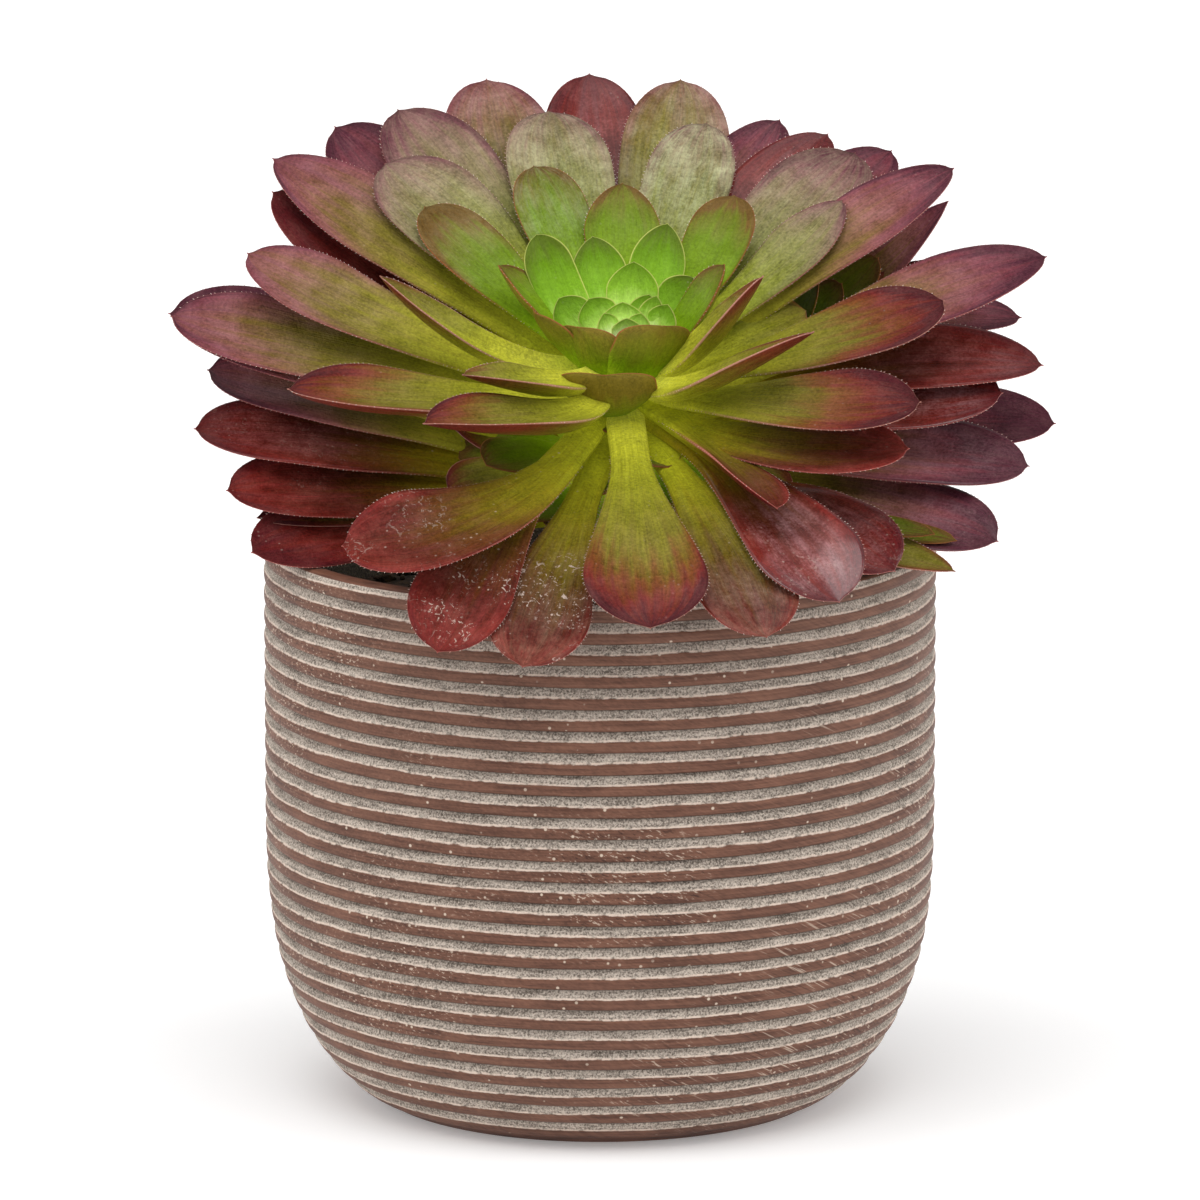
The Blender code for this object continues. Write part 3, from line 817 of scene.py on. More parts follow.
@dataclass
class Blade:
    """A leaf's surface, pressed from a sphere along its midline.

    The opening is the share of the length over which the petiole widens, on each side
    of the leaf's neck. The blade's end starts to round off at the round start, sooner
    on a pointed leaf by up to the point's length, and the prick is its fine tip. A
    leaf round a heart faces the heart.
    """

    leaf: Leaf
    base: Vector
    seed: int = 0
    segments: int = 22
    rings: int = 44
    petiole_half: float = 3.8 * MM
    petiole_thickness: float = 5.4 * MM
    blade_thickness: float = 3.0 * MM
    foot_thickness: float = 2.6 * MM
    opening: float = 0.32
    round_start: float = 0.79
    point_length: float = 0.22
    prick_start: float = 0.99
    prick_half: float = 0.45 * MM
    wave: float = 0.9 * MM
    groove: float = 0.30
    hair_start: float = 0.28
    hair_span: float = 0.715
    hair_spacing: float = 1.3 * MM
    hair_length: float = 0.45 * MM
    hair_radius: float = 0.09 * MM
    heart: Vector | None = None

    def __post_init__(self) -> None:
        """Work out the midline's points and the blade's side and up directions."""
        leaf = self.leaf
        self.tip = Vector(leaf.tip) * MM
        chord = (self.tip - self.base).normalized()
        facing = ROSETTE_AXIS
        if self.heart is not None:
            away = self.tip - self.heart
            away -= facing * away.dot(facing)
            facing = -Vector((away.x * 0.35, away.y, away.z)).normalized()
        self.up = (facing - chord * facing.dot(chord)).normalized()
        self.side = chord.cross(self.up)
        lift = (self.up * leaf.bow + self.side * leaf.sway) * 2.0 * MM
        self.middle = self.base.lerp(self.tip, leaf.bend) + lift
        self.length = (self.tip - self.base).length

    def half_width(self, share: float) -> float:
        """Work out half the width.

        Args:
            share: how far along the leaf, 0 to 1.

        Returns:
            Half the width there.
        """
        leaf = self.leaf
        half = leaf.width * MM / 2.0
        petiole = max(half * leaf.foot, min(self.petiole_half, half * 0.7))
        opened = smooth_step(share, leaf.neck - self.opening, leaf.neck + self.opening)
        body = petiole + (half - petiole) * opened
        start = self.round_start - self.point_length * leaf.point
        end = (share - start) / (self.prick_start - start)
        if end > 0.0:
            round_end = sqrt(max(1.0 - end ** 2.3, 0.0))
            sharp_end = max(1.0 - end ** 1.7, 0.0) ** 0.8
            prick = self.prick_half * min((1.0 - share) / (1.0 - self.prick_start), 1.0)
            body = max(body * (round_end + (sharp_end - round_end) * leaf.point), prick)
        return body

    def thickness(self, share: float) -> float:
        """Work out the thickness on the midline.

        Args:
            share: how far along the leaf, 0 to 1.

        Returns:
            The thickness there.
        """
        body = self.petiole_thickness
        body += (self.blade_thickness - self.petiole_thickness) * smooth_step(share)
        body = self.foot_thickness + (body - self.foot_thickness) * smooth_step(share, 0.0, 0.2)
        scale = min(1.0, 0.35 + self.leaf.width / 30.0)
        return body * scale * sqrt(max(1.0 - max(share - 0.6, 0.0) / 0.4, 0.02))

    def section(self, share: float) -> tuple[Vector, Vector, Vector]:
        """Find a cross-section of the leaf.

        Args:
            share: how far along the leaf, 0 to 1.

        Returns:
            The midline's point, and the side and up directions there.
        """
        rest = 1.0 - share
        point = self.base * rest * rest + self.middle * 2.0 * share * rest + self.tip * share * share
        tangent = ((self.middle - self.base) * rest + (self.tip - self.middle) * share).normalized()
        angle = radians(self.leaf.turn) * smooth_step(share, 0.15, 0.7)
        roll = Matrix.Rotation(angle, 3, tangent)
        flat = (roll @ (self.side - tangent * self.side.dot(tangent))).normalized()
        rise = flat.cross(tangent)
        if rise.dot(roll @ self.up) < 0.0:
            rise.negate()
        return point, flat, rise

    def place(self, share: float, across: float, above: float) -> Vector:
        """Return a point of the leaf.

        Args:
            share: how far along the leaf, 0 to 1.
            across: how far to its side, -1 to 1.
            above: how far towards its upper face, -1 to 1.

        Returns:
            The point in space.
        """
        point, flat, rise = self.section(share)
        half = self.half_width(share)
        thick = self.thickness(share) / 2.0
        lift = self.leaf.cup * half * across * across
        if above > 0.0:
            channel = exp(-((across * 3.2) ** 2))
            thick *= 1.0 - self.groove * smooth_step(share, 0.3, 0.6) * channel
        ripple = noise.noise(Vector((across * 1.3, share * 3.6, self.seed * 7.3)))
        lift += self.wave * ripple * smooth_step(share, 0.15, 0.6) * (half / (15 * MM))
        return point + flat * half * across + rise * (thick * above + lift)

    def mesh(self) -> bmesh.types.BMesh:
        """Press the leaf's surface.

        Returns:
            The surface, with the leaf's values and the place on the leaf at every point.
        """
        shape = bmesh.new()
        bmesh.ops.create_uvsphere(shape, u_segments=self.segments, v_segments=self.rings, radius=1.0)
        layers = {
            name: shape.verts.layers.float.new(name)
            for name in ("across", "along", "under", "half", "seed", *SKIN_VALUES)
        }
        for vertex in shape.verts:
            share = (1.0 - vertex.co.z) / 2.0
            reach = sqrt(max(1.0 - vertex.co.z ** 2, 0.0))
            pole = reach < 0.001
            across = 0.0 if pole else vertex.co.x / reach
            above = 0.0 if pole else vertex.co.y / reach
            vertex.co = self.section(share)[0] if pole else self.place(share, across, above)
            vertex[layers["across"]] = across
            vertex[layers["along"]] = share
            vertex[layers["under"]] = 1.0 if above < -0.05 else 0.0
            vertex[layers["half"]] = self.half_width(share) / MM
            vertex[layers["seed"]] = (self.seed * 0.618) % 1.0
            for name in SKIN_VALUES:
                vertex[layers[name]] = getattr(self.leaf, name)
        for face in shape.faces:
            face.smooth = True
        return shape

    def add_hairs(self, shape: bmesh.types.BMesh) -> int:
        """Set short hairs along both margins of the blade.

        Args:
            shape: the leaf's surface, which the hairs are added to.

        Returns:
            How many hairs there are.
        """
        draw = Random(self.seed)
        count = int(self.length * (1.0 - self.hair_start) / self.hair_spacing)
        for side in (-1.0, 1.0):
            for index in range(count):
                share = self.hair_start + self.hair_span * (index + draw.uniform(-0.25, 0.25)) / count
                share = min(max(share, 0.25), 0.995)
                root = self.place(share, side, 0.0)
                ahead = self.place(min(share + 0.01, 1.0), side, 0.0) - root
                _, flat, rise = self.section(share)
                out = ahead.cross(rise)
                out = flat * side if out.length < 1e-9 else out.normalized()
                if out.dot(flat * side) < 0.0:
                    out.negate()
                out = (out + ahead.normalized() * 0.5 + rise * draw.uniform(-0.2, 0.2)).normalized()
                length = self.hair_length * draw.uniform(0.6, 1.2)
                turn = Vector((0.0, 0.0, 1.0)).rotation_difference(out).to_matrix().to_4x4()
                matrix = Matrix.Translation(root + out * length * 0.35) @ turn
                made = bmesh.ops.create_cone(
                    shape, cap_ends=True, segments=3, radius1=self.hair_radius,
                    radius2=self.hair_radius * 0.35, depth=length, matrix=matrix,
                )
                for face in {face for vertex in made["verts"] for face in vertex.link_faces}:
                    face.material_index = 1
        return 2 * count


@dataclass(frozen=True)
class HairFinish:
    """The pale hairs on the leaves' margins."""

    dark: tuple[int, int, int] = (206, 150, 138)
    light: tuple[int, int, int] = (236, 222, 210)

    def build(self) -> bpy.types.Material:
        """Build the material.

        Returns:
            The material.
        """
        graph = Graph("margin_hair")
        tone = graph.grain(graph.place(), 300.0).rise(0.3, 0.7)
        colour = graph.mix(tone, linear(self.dark), linear(self.light))
        graph.paint(Base_Color=colour, Roughness=0.5)
        return graph.material


@dataclass(frozen=True)
class ClayFinish:
    """The ribbed outside of the pot: smooth brown ribs over gritty grey grooves."""

    dark: tuple[int, int, int] = (76, 47, 36)
    light: tuple[int, int, int] = (130, 90, 72)
    grit_dark: tuple[int, int, int] = (94, 84, 75)
    grit_light: tuple[int, int, int] = (210, 196, 182)
    # A painted highlight: the pale line along each rib's crest where the edge catches the light.
    crest_highlight: tuple[int, int, int] = (226, 206, 190)
    chips: tuple[int, int, int] = (214, 196, 176)
    gouge: tuple[int, int, int] = (46, 28, 22)
    edge: float = 0.43

    def build(self) -> bpy.types.Material:
        """Build the material.

        Returns:
            The material.
        """
        graph = Graph("ribbed_clay")
        place = graph.place()
        rib = graph.attribute("rib").fraction()
        ragged = (graph.grain(place, 420.0, 3.0, 0.7) - 0.5) * 0.10
        ragged = ragged + (graph.grain(place, 45.0) - 0.5) * 0.18
        step = rib + ragged * rib.rise(0.1, 0.4)
        brown = step.rise(self.edge - 0.02, self.edge + 0.02)
        streaks = graph.grain(graph.scaled(place, (60.0, 60.0, 1500.0)), 1.0, 4.0, 0.65)
        clouds = graph.grain(place, 60.0, 3.0)
        hatching = graph.grain(graph.slanted(place, 1.3, 0.14), 900.0, 2.0, 0.6)
        tone = (streaks * 0.6 + clouds * 0.3 + hatching * 0.35).rise(0.38, 0.88)
        body = graph.mix(tone, linear(self.dark), linear(self.light))

        patches = graph.grain(place, 20.0, 1.0).rise(0.50, 0.62)
        scratches = hatching.rise(0.60, 0.68) * patches
        dots = 1.0 - graph.cells(place, 280.0).rise(0.08, 0.15)
        dots = dots * graph.grain(place, 70.0).rise(0.42, 0.56)
        body = graph.mix((scratches * 0.6).larger(dots * 0.85), body, linear(self.chips))
        gouges = (1.0 - hatching.rise(0.32, 0.40)) * patches
        body = graph.mix(gouges * 0.6, body, linear(self.gouge))

        sand = graph.grain(place, 1900.0, 2.0, 0.7)
        smears = graph.grain(graph.scaled(place, (90.0, 90.0, 900.0)), 1.0, 3.0)
        tone = (sand * 0.9 + smears * 0.4).rise(0.44, 0.88)
        grit = graph.mix(tone, linear(self.grit_dark), linear(self.grit_light))
        # Painted highlight: a thin pale line along each rib's crest, where the grey shoulder meets the
        # brown face.
        crest_highlight = step.rise(self.edge - 0.10, self.edge - 0.03)
        crest_highlight = crest_highlight * (1.0 - step.rise(self.edge, self.edge + 0.05))
        crest_highlight = crest_highlight * graph.grain(place, 500.0, 2.0).rise(0.30, 0.55)
        colour = graph.mix(brown, grit, body)
        colour = graph.mix(crest_highlight * 0.85, colour, linear(self.crest_highlight))
        # Painted shadow: darker in the deep groove at the top of each rib.
        notch_shadow = rib.rise(0.90, 0.98).larger(1.0 - rib.rise(0.0, 0.07))
        colour = graph.dimmed(colour, 1.0 - notch_shadow * 0.45)
        graph.paint(
            Base_Color=colour,
            Roughness=0.86 - brown * 0.28 + (sand - 0.5) * 0.1,
            Specular_IOR_Level=0.25,
        )
        graph.bump(sand * (1.0 - brown * 0.9) + streaks * 0.25 + brown * 0.6, 0.0004)
        return graph.material


@dataclass(frozen=True)
class PlainClayFinish:
    """The pot's smooth rim and foot, in the ribs' brown."""

    dark: tuple[int, int, int] = (74, 46, 37)
    light: tuple[int, int, int] = (122, 80, 62)

    def build(self) -> bpy.types.Material:
        """Build the material.

        Returns:
            The material.
        """
        graph = Graph("plain_clay")
        place = graph.place()
        streaks = graph.grain(graph.scaled(place, (60.0, 60.0, 1500.0)), 1.0, 4.0, 0.65)
        sand = graph.grain(place, 1500.0, 2.0)
        graph.paint(
            Base_Color=graph.mix(streaks.rise(0.3, 0.7), linear(self.dark), linear(self.light)),
            Roughness=0.6 + (sand - 0.5) * 0.1,
            Specular_IOR_Level=0.25,
        )
        graph.bump(streaks + sand * 0.4, 0.0002)
        return graph.material


@dataclass(frozen=True)
class GritFinish:
    """The pot's bare inside, gritty, and darkened with painted shade."""

    dark: tuple[int, int, int] = (48, 42, 37)
    light: tuple[int, int, int] = (112, 102, 92)

    def build(self) -> bpy.types.Material:
        """Build the material.

        Returns:
            The material.
        """
        graph = Graph("bare_grit")
        sand = graph.grain(graph.place(), 1800.0, 3.0, 0.7)
        colour = graph.mix(sand.rise(0.3, 0.75), linear(self.dark), linear(self.light))
        graph.paint(Base_Color=colour, Roughness=0.9)
        graph.bump(sand, 0.0004)
        return graph.material


@dataclass(frozen=True)
class SoilFinish:
    """Dark, crumbly potting mix."""

    dark: tuple[int, int, int] = (26, 19, 15)
    light: tuple[int, int, int] = (84, 64, 49)

    def build(self, name: str) -> bpy.types.Material:
        """Build the material.

        Args:
            name: the material's name.

        Returns:
            The material.
        """
        graph = Graph(name)
        place = graph.place()
        crumbs = graph.grain(place, 420.0, 4.0, 0.7)
        clods = graph.grain(place, 110.0, 3.0)
        tone = (crumbs * 0.7 + clods * 0.4).rise(0.35, 0.85)
        graph.paint(Base_Color=graph.mix(tone, linear(self.dark), linear(self.light)), Roughness=0.95)
        graph.bump(crumbs + clods, 0.0012)
        return graph.material


@dataclass(frozen=True)
class BarkFinish:
    """The stem's skin: olive brown, with pale scars where leaves grew."""

    dark: tuple[int, int, int] = (70, 60, 36)
    light: tuple[int, int, int] = (150, 138, 80)

    def build(self) -> bpy.types.Material:
        """Build the material.

        Returns:
            The material.
        """
        graph = Graph("stem_skin")
        place = graph.place()
        rings = graph.grain(graph.scaled(place, (120.0, 120.0, 900.0)), 1.0, 3.0, 0.6)
        blotches = graph.grain(place, 160.0, 3.0)
        tone = (rings * 0.6 + blotches * 0.5).rise(0.35, 0.75)
        graph.paint(Base_Color=graph.mix(tone, linear(self.dark), linear(self.light)), Roughness=0.7)
        graph.bump(rings + blotches * 0.5, 0.0005)
        return graph.material


@dataclass(frozen=True)
class FloorFinish:
    """The plain pale floor."""

    colour: tuple[float, float, float, float] = (0.93, 0.93, 0.93, 1.0)
    glow: float = 0.20

    def build(self) -> bpy.types.Material:
        """Build the material.

        Returns:
            The material.
        """
        graph = Graph("pale_floor")
        graph.paint(
            Base_Color=self.colour,
            Roughness=0.9,
            Specular_IOR_Level=0.2,
            Emission_Color=(1.0, 1.0, 1.0, 1.0),
            Emission_Strength=self.glow,
        )
        return graph.material


class Workshop:
    """Turns shapes into pieces that ride on the pot's body."""

    def __init__(self) -> None:
        """Start with the finishes that several pieces share."""
        self.skins = {tint: tint.value.build() for tint in Tint}
        self.hair = HairFinish().build()

    def finish(
        self,
        name: str,
        shape: bmesh.types.BMesh,
        materials: list[bpy.types.Material],
        slot: str,
        node: str | None = None,
    ) -> bpy.types.Object:
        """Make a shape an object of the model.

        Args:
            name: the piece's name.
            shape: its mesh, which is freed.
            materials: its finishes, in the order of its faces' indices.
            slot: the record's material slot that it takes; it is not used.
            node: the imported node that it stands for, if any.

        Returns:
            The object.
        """
        mesh = bpy.data.meshes.new(name)
        shape.to_mesh(mesh)
        shape.free()
        for material in materials:
            mesh.materials.append(material)
        piece = bpy.data.objects.new(name, mesh)
        bpy.context.scene.collection.objects.link(piece)
        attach(piece, "root")
        if node:
            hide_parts(node)
        LOG.info("%s: %d faces", name, len(mesh.polygons))
        return piece

    def finish_leaf(self, name: str, blade: Blade, node: str | None = None, hairs: bool = True) -> None:
        """Make a leaf an object of the model.

        Args:
            name: the piece's name.
            blade: the leaf.
            node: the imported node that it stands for, if any.
            hairs: whether its margin has hairs.
        """
        shape = blade.mesh()
        if hairs:
            blade.add_hairs(shape)
        tint = blade.leaf.tint
        self.finish(name, shape, [self.skins[tint], self.hair], tint.slot, node)


class PotFace(IntEnum):
    """The finish of a stretch of the pot's outline."""

    RIBS = 0
    PLAIN = 1
    BARE = 2


@dataclass(frozen=True)
class Pot:
    """The ribbed planter, turned from one outline."""

    radius: float = 90 * MM
    height: float = 152.4 * MM
    foot_radius: float = 58 * MM
    flare_height: float = 85 * MM
    wall: float = 5.5 * MM
    floor: float = 7 * MM
    ribs: int = 26
    rib_pitch: float = 5.78 * MM
    rib_top: float = 152.6 * MM
    rib_depth: float = 1.25 * MM
    rim_edge: float = 0.3 * MM
    steps: int = 168
    wobble: float = 0.16 * MM
    # The heights of the inside's points, and the height up to which it narrows to the floor.
    inside_heights: tuple[int, ...] = (9, 14, 20, 30, 42, 60, 85, 110, 130, 145)
    fillet_height: float = 15 * MM
    fillet_depth: float = 1.5 * MM
    # The rounded rim: how far past the inner wall and below the top its points lie.
    rim_shape: tuple[tuple[float, float, PotFace], ...] = (
        (0.0, 1.4, PotFace.BARE), (0.2, 0.5, PotFace.PLAIN), (0.8, 0.08, PotFace.PLAIN),
        (2.0, 0.0, PotFace.PLAIN), (3.6, 0.05, PotFace.PLAIN), (4.1, 0.2, PotFace.PLAIN),
    )
    # How deep the side lies below the ribs' crests at shares of one rib, from its top down.
    rib_shape: tuple[tuple[float, float], ...] = (
        (0.03, 1.0), (0.08, 0.80), (0.17, 0.55), (0.28, 0.33), (0.38, 0.17), (0.45, 0.07),
        (0.50, 0.0), (0.62, -0.02), (0.80, 0.0), (0.90, 0.08), (0.95, 0.30), (0.985, 0.80),
    )

    def outer_radius(self, height: float) -> float:
        """Work out the outer radius over the ribs.

        Args:
            height: the height above the pot's foot.

        Returns:
            The radius there.
        """
        if height >= self.flare_height:
            return self.radius
        below = (self.flare_height - height) / self.flare_height
        return self.foot_radius + (self.radius - self.foot_radius) * (1.0 - below ** 3) ** 0.7

    def inside(self) -> list[tuple[float, float, float, int]]:
        """Draw the inside, from the middle of its floor up.

        Returns:
            The radius, height, rib and finish of each point.
        """
        points = [(0.0, self.floor, 0.0, PotFace.BARE), (self.foot_radius, self.floor, 0.0, PotFace.BARE)]
        for height in (step * MM for step in self.inside_heights):
            shift = self.wall + (self.fillet_depth if height < self.fillet_height else 0.0)
            points.append((self.outer_radius(height) - shift, height, 0.0, PotFace.BARE))
        return points

    def outside(self) -> list[tuple[float, float, float, int]]:
        """Draw the ribs and the foot, from the top down to the middle of the foot.

        Returns:
            The radius, height, rib and finish of each point.
        """
        points = []
        for rib in range(self.ribs):
            for share, depth in self.rib_shape:
                height = self.rib_top - (rib + share) * self.rib_pitch
                radius = self.outer_radius(height) - depth * self.rib_depth
                if height < self.height - self.rim_edge:
                    points.append((radius, height, rib + share, PotFace.RIBS))
        foot_height = self.rib_top - self.ribs * self.rib_pitch
        last = float(self.ribs)
        points += [
            (self.outer_radius(foot_height) - 1.2 * MM, foot_height, last, PotFace.PLAIN),
            (self.foot_radius + 1.5 * MM, 0.5 * MM, last, PotFace.PLAIN),
            (self.foot_radius, 0.0, last, PotFace.PLAIN),
            (0.0, 0.0, last, PotFace.PLAIN),
        ]
        return points

    def outline(self) -> list[tuple[float, float, float, int]]:
        """Draw half of the pot's section.

        Returns:
            The radius, height, rib and finish of each point.
        """
        inner = self.radius - self.wall
        rim = [
            (inner + out * MM, self.height - drop * MM, 0.0, face)
            for out, drop, face in self.rim_shape
        ]
        return self.inside() + rim + self.outside()

    def build(self, workshop: Workshop) -> None:
        """Turn the pot and make its ribs slightly uneven.

        Args:
            workshop: what finishes the piece.
        """
        shape = bmesh.new()
        rib_layer = shape.verts.layers.float.new("rib")
        finish_layer = shape.verts.layers.float.new("finish")
        previous = None
        for radius, height, rib, finish in self.outline():
            vertex = shape.verts.new((0.0, radius, height))
            vertex[rib_layer] = rib
            vertex[finish_layer] = float(finish)
            if previous:
                shape.edges.new((previous, vertex))
            previous = vertex
        bmesh.ops.spin(
            shape,
            geom=shape.verts[:] + shape.edges[:],
            cent=(0.0, 0.0, 0.0),
            axis=(0.0, 0.0, 1.0),
            angle=2.0 * pi,
            steps=self.steps,
            use_merge=True,
        )
        bmesh.ops.remove_doubles(shape, verts=shape.verts, dist=SAME_POINT)
        bmesh.ops.recalc_face_normals(shape, faces=shape.faces)
        for face in shape.faces:
            face.smooth = True
            face.material_index = int(round(max(vertex[finish_layer] for vertex in face.verts)))
        for vertex in shape.verts:
            if round(vertex[finish_layer]) == PotFace.RIBS:
                self._unsettle(vertex, vertex[rib_layer])
        materials = [ClayFinish().build(), PlainClayFinish().build(), GritFinish().build()]
        workshop.finish("pot_shell", shape, materials, "pot", "pot")

    def _unsettle(self, vertex: bmesh.types.BMVert, rib: float) -> None:
        """Shift a point of the ribs a little up or down, and in or out.

        Args:
            vertex: the point.
            rib: how many ribs lie above it.
        """
        away = Vector((vertex.co.x, vertex.co.y, 0.0)).normalized()
        spot = away * 2.2 + Vector((0.0, 0.0, int(rib + 0.5) * 3.7))
        vertex.co.z += self.wobble * noise.noise(spot) * 1.6
        spot = away * 9.0 + Vector((0.0, 0.0, rib * 2.0))
        vertex.co += away * self.wobble * 0.5 * (noise.noise(spot) - 0.5)


@dataclass(frozen=True)
class Soil:
    """The potting mix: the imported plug, with a crumbly top."""

    radius: float = 84.2 * MM
    top: float = 133.0 * MM
    crown: float = 4.0 * MM
    rings: int = 40
    steps: int = 110
    crumbs: int = 420
    seed: int = 5

    def surface(self, x: float, y: float) -> float:
        """Work out the height of the soil.

        Args:
            x: the place to the right of the pot's middle.
            y: the place behind it.

        Returns:
            The height there.
        """
        away = sqrt(x * x + y * y) / self.radius
        spot = Vector((x, y, 0.0)) * 90.0
        clods = noise.noise(spot) * 1.1 + noise.noise(spot * 3.1) * 0.6
        return self.top + 0.6 * MM - self.crown * away + clods * MM

    def build(self, workshop: Workshop) -> None:
        """Lay the crumbly top on the packed soil, and dress both.

        Args:
            workshop: what finishes the piece.
        """
        node = bpy.data.objects["soil"]
        node.data.materials.clear()
        node.data.materials.append(SoilFinish().build("soil_body"))
        shape = bmesh.new()
        bmesh.ops.create_circle(
            shape, cap_ends=True, cap_tris=True, segments=self.steps, radius=self.radius,
        )
        bmesh.ops.subdivide_edges(
            shape, edges=[edge for edge in shape.edges if not edge.is_boundary], cuts=self.rings,
        )
        bmesh.ops.remove_doubles(shape, verts=shape.verts, dist=SAME_POINT)
        for vertex in shape.verts:
            vertex.co.z = self.surface(vertex.co.x, vertex.co.y)
        for face in shape.faces:
            face.smooth = True
        draw = Random(self.seed)
        for _ in range(self.crumbs):
            self._drop_crumb(shape, draw)
        workshop.finish("soil_crumbs", shape, [SoilFinish().build("soil_top")], "soil")

    def _drop_crumb(self, shape: bmesh.types.BMesh, draw: Random) -> None:
        """Let a crumb fall somewhere on the soil.

        Args:
            shape: the mesh that it is added to.
            draw: where its place and size come from.
        """
        angle = draw.uniform(0.0, 2.0 * pi)
        away = self.radius * sqrt(draw.uniform(0.02, 0.93))
        x, y = away * cos(angle), away * sin(angle)
        size = draw.uniform(0.7, 2.4) * MM
        sides = (draw.uniform(0.6, 1.5), draw.uniform(0.6, 1.2), draw.uniform(0.4, 0.9))
        turn = Matrix.Rotation(draw.uniform(0.0, pi), 4, "Z")
        turn = turn @ Matrix.Rotation(draw.uniform(-0.6, 0.6), 4, "X")
        place = Matrix.Translation((x, y, self.surface(x, y) + size * 0.3))
        matrix = place @ turn @ Matrix.Diagonal((*sides, 1.0))
        bmesh.ops.create_icosphere(shape, subdivisions=1, radius=size, matrix=matrix)


@dataclass(frozen=True)
class Stem:
    """The stem's bark, pressed from a sphere along its midline."""

    line: StemLine
    segments: int = 30
    rings: int = 90
    scar_depth: float = 0.5 * MM

    def point(self, share: float) -> tuple[Vector, Vector]:
        """Find a point of the midline.

        Args:
            share: how far up the stem, 0 to 1.

        Returns:
            The point, and the midline's direction there.
        """
        path = self.line.path
        lengths = [(b - a).length for a, b in zip(path, path[1:])]
        left = share * sum(lengths)
        for start, end, length in zip(path, path[1:], lengths):
            if left <= length or end is path[-1]:
                return start.lerp(end, min(left / length, 1.0)), (end - start).normalized()
            left -= length
        return path[-1], self.line.along

    def build(self, workshop: Workshop) -> None:
        """Press the stem and roughen it with leaf scars.

        Args:
            workshop: what finishes the piece.
        """
        shape = bmesh.new()
        bmesh.ops.create_uvsphere(shape, u_segments=self.segments, v_segments=self.rings, radius=1.0)
        for vertex in shape.verts:
            share = (1.0 + vertex.co.z) / 2.0
            reach = sqrt(max(1.0 - vertex.co.z ** 2, 0.0))
            aside = Vector((vertex.co.x, vertex.co.y, 0.0)).normalized() if reach > 0.001 else Vector()
            centre, along = self.point(share)
            taper = (self.line.top_radius - self.line.radius) * smooth_step(share, 0.5, 1.0)
            radius = (self.line.radius + taper) * min(reach * 3.0, 1.0)
            radius += self.scar_depth * noise.noise(Vector((aside.x * 2.0, aside.y * 2.0, share * 26.0)))
            across = (Vector((1.0, 0.0, 0.0)) - along * along.x).normalized()
            ahead = along.cross(across)
            vertex.co = centre + (across * aside.x + ahead * aside.y) * radius
        for face in shape.faces:
            face.smooth = True
        workshop.finish("stem_bark", shape, [BarkFinish().build()], "stem", "stem")


@dataclass(frozen=True)
class Rosette:
    """The big leaves, the young ones under them and the heart."""

    line: StemLine
    heart: Vector = Vector((7.0, -20.0, 212.0)) * MM

    def build(self, workshop: Workshop) -> None:
        """Build every leaf on its seat.

        Args:
            workshop: what finishes the pieces.
        """
        depths = Seating(self.line).depths(LEAVES)
        for seed, leaf in enumerate(LEAVES, 1):
            blade = Blade(leaf, self.line.foot_of(leaf, depths[leaf.name]), seed)
            workshop.finish_leaf(leaf.name + "_blade", blade, leaf.name)
        for seed, (leaf, depth) in enumerate(zip(STEM_LEAVES, STEM_LEAF_DEPTHS), 101):
            blade = Blade(leaf, self.line.foot_of(leaf, depth * MM), seed, 16, 28)
            workshop.finish_leaf("young_" + leaf.name, blade, hairs=False)

    def build_heart(self, workshop: Workshop) -> None:
        """Build the heart's leaves round the stem's top.

        Args:
            workshop: what finishes the pieces.
        """
        for seed, leaf in enumerate(HEART_LEAVES, 201):
            root = Vector(leaf.root) * MM
            blade = Blade(leaf, root, seed, 24, 40, wave=0.3 * MM, heart=self.heart)
            workshop.finish_leaf("heart_" + leaf.name, blade, "bud", hairs=False)


@dataclass(frozen=True)
class Undergrowth:
    """Short leaves low on the stem, which close the gaps between the big ones."""

    line: StemLine
    count: int = 20
    hub_depth: float = 14 * MM
    seed: int = 11

    def build(self, workshop: Workshop) -> None:
        """Build a ring of leaves under the rosette, a little uneven.

        Args:
            workshop: what finishes the pieces.
        """
        draw = Random(self.seed)
        axis = ROSETTE_AXIS
        right = (Vector((1.0, 0.0, 0.0)) - axis * axis.x).normalized()
        back = axis.cross(right)
        for index in range(self.count):
            angle = 2.0 * pi * (index + draw.uniform(-0.3, 0.3)) / self.count
            reach = draw.uniform(40, 58) * MM
            tip = self.line.seat(self.hub_depth) + (right * cos(angle) + back * sin(angle)) * reach
            tip -= axis * draw.uniform(4, 12) * MM
            tint = draw.choice((FRESH, DULL, FRESH))
            leaf = Leaf(
                f"under_{index + 1:02d}",
                tuple(tip / MM),
                draw.uniform(16, 22),
                bow=3,
                tint=tint,
                neck=0.35,
                point=draw.uniform(0.0, 0.6),
                ripe=draw.uniform(-0.2, 0.1),
            )
            blade = Blade(leaf, self.line.foot_of(leaf, draw.uniform(26, 40) * MM), 401 + index, 16, 28)
            workshop.finish_leaf(leaf.name, blade, hairs=False)


@dataclass(frozen=True)
class SideShoot:
    """A small rosette behind the big one, on its own stalk."""

    name: str
    heart: tuple[float, float, float]
    foot: float
    leaves: tuple[Leaf, ...]
    stalk_width: float = 7.0

    def build(self, workshop: Workshop, line: StemLine) -> None:
        """Build the stalk and its leaves.

        Args:
            workshop: what finishes the pieces.
            line: the stem that the stalk grows from.
        """
        stalk = Leaf("stalk", self.heart, self.stalk_width, -2, cup=0.0, neck=0.9, foot=0.9, tint=FRESH)
        blade = Blade(stalk, line.foot_of(stalk, self.foot * MM), 301, 16, 24, petiole_thickness=6 * MM)
        workshop.finish_leaf(self.name + "_stalk", blade, self.name, hairs=False)
        for seed, leaf in enumerate(self.leaves, 302):
            blade = Blade(leaf, Vector(self.heart) * MM, seed, 18, 32)
            workshop.finish_leaf(self.name + "_" + leaf.name, blade, self.name)


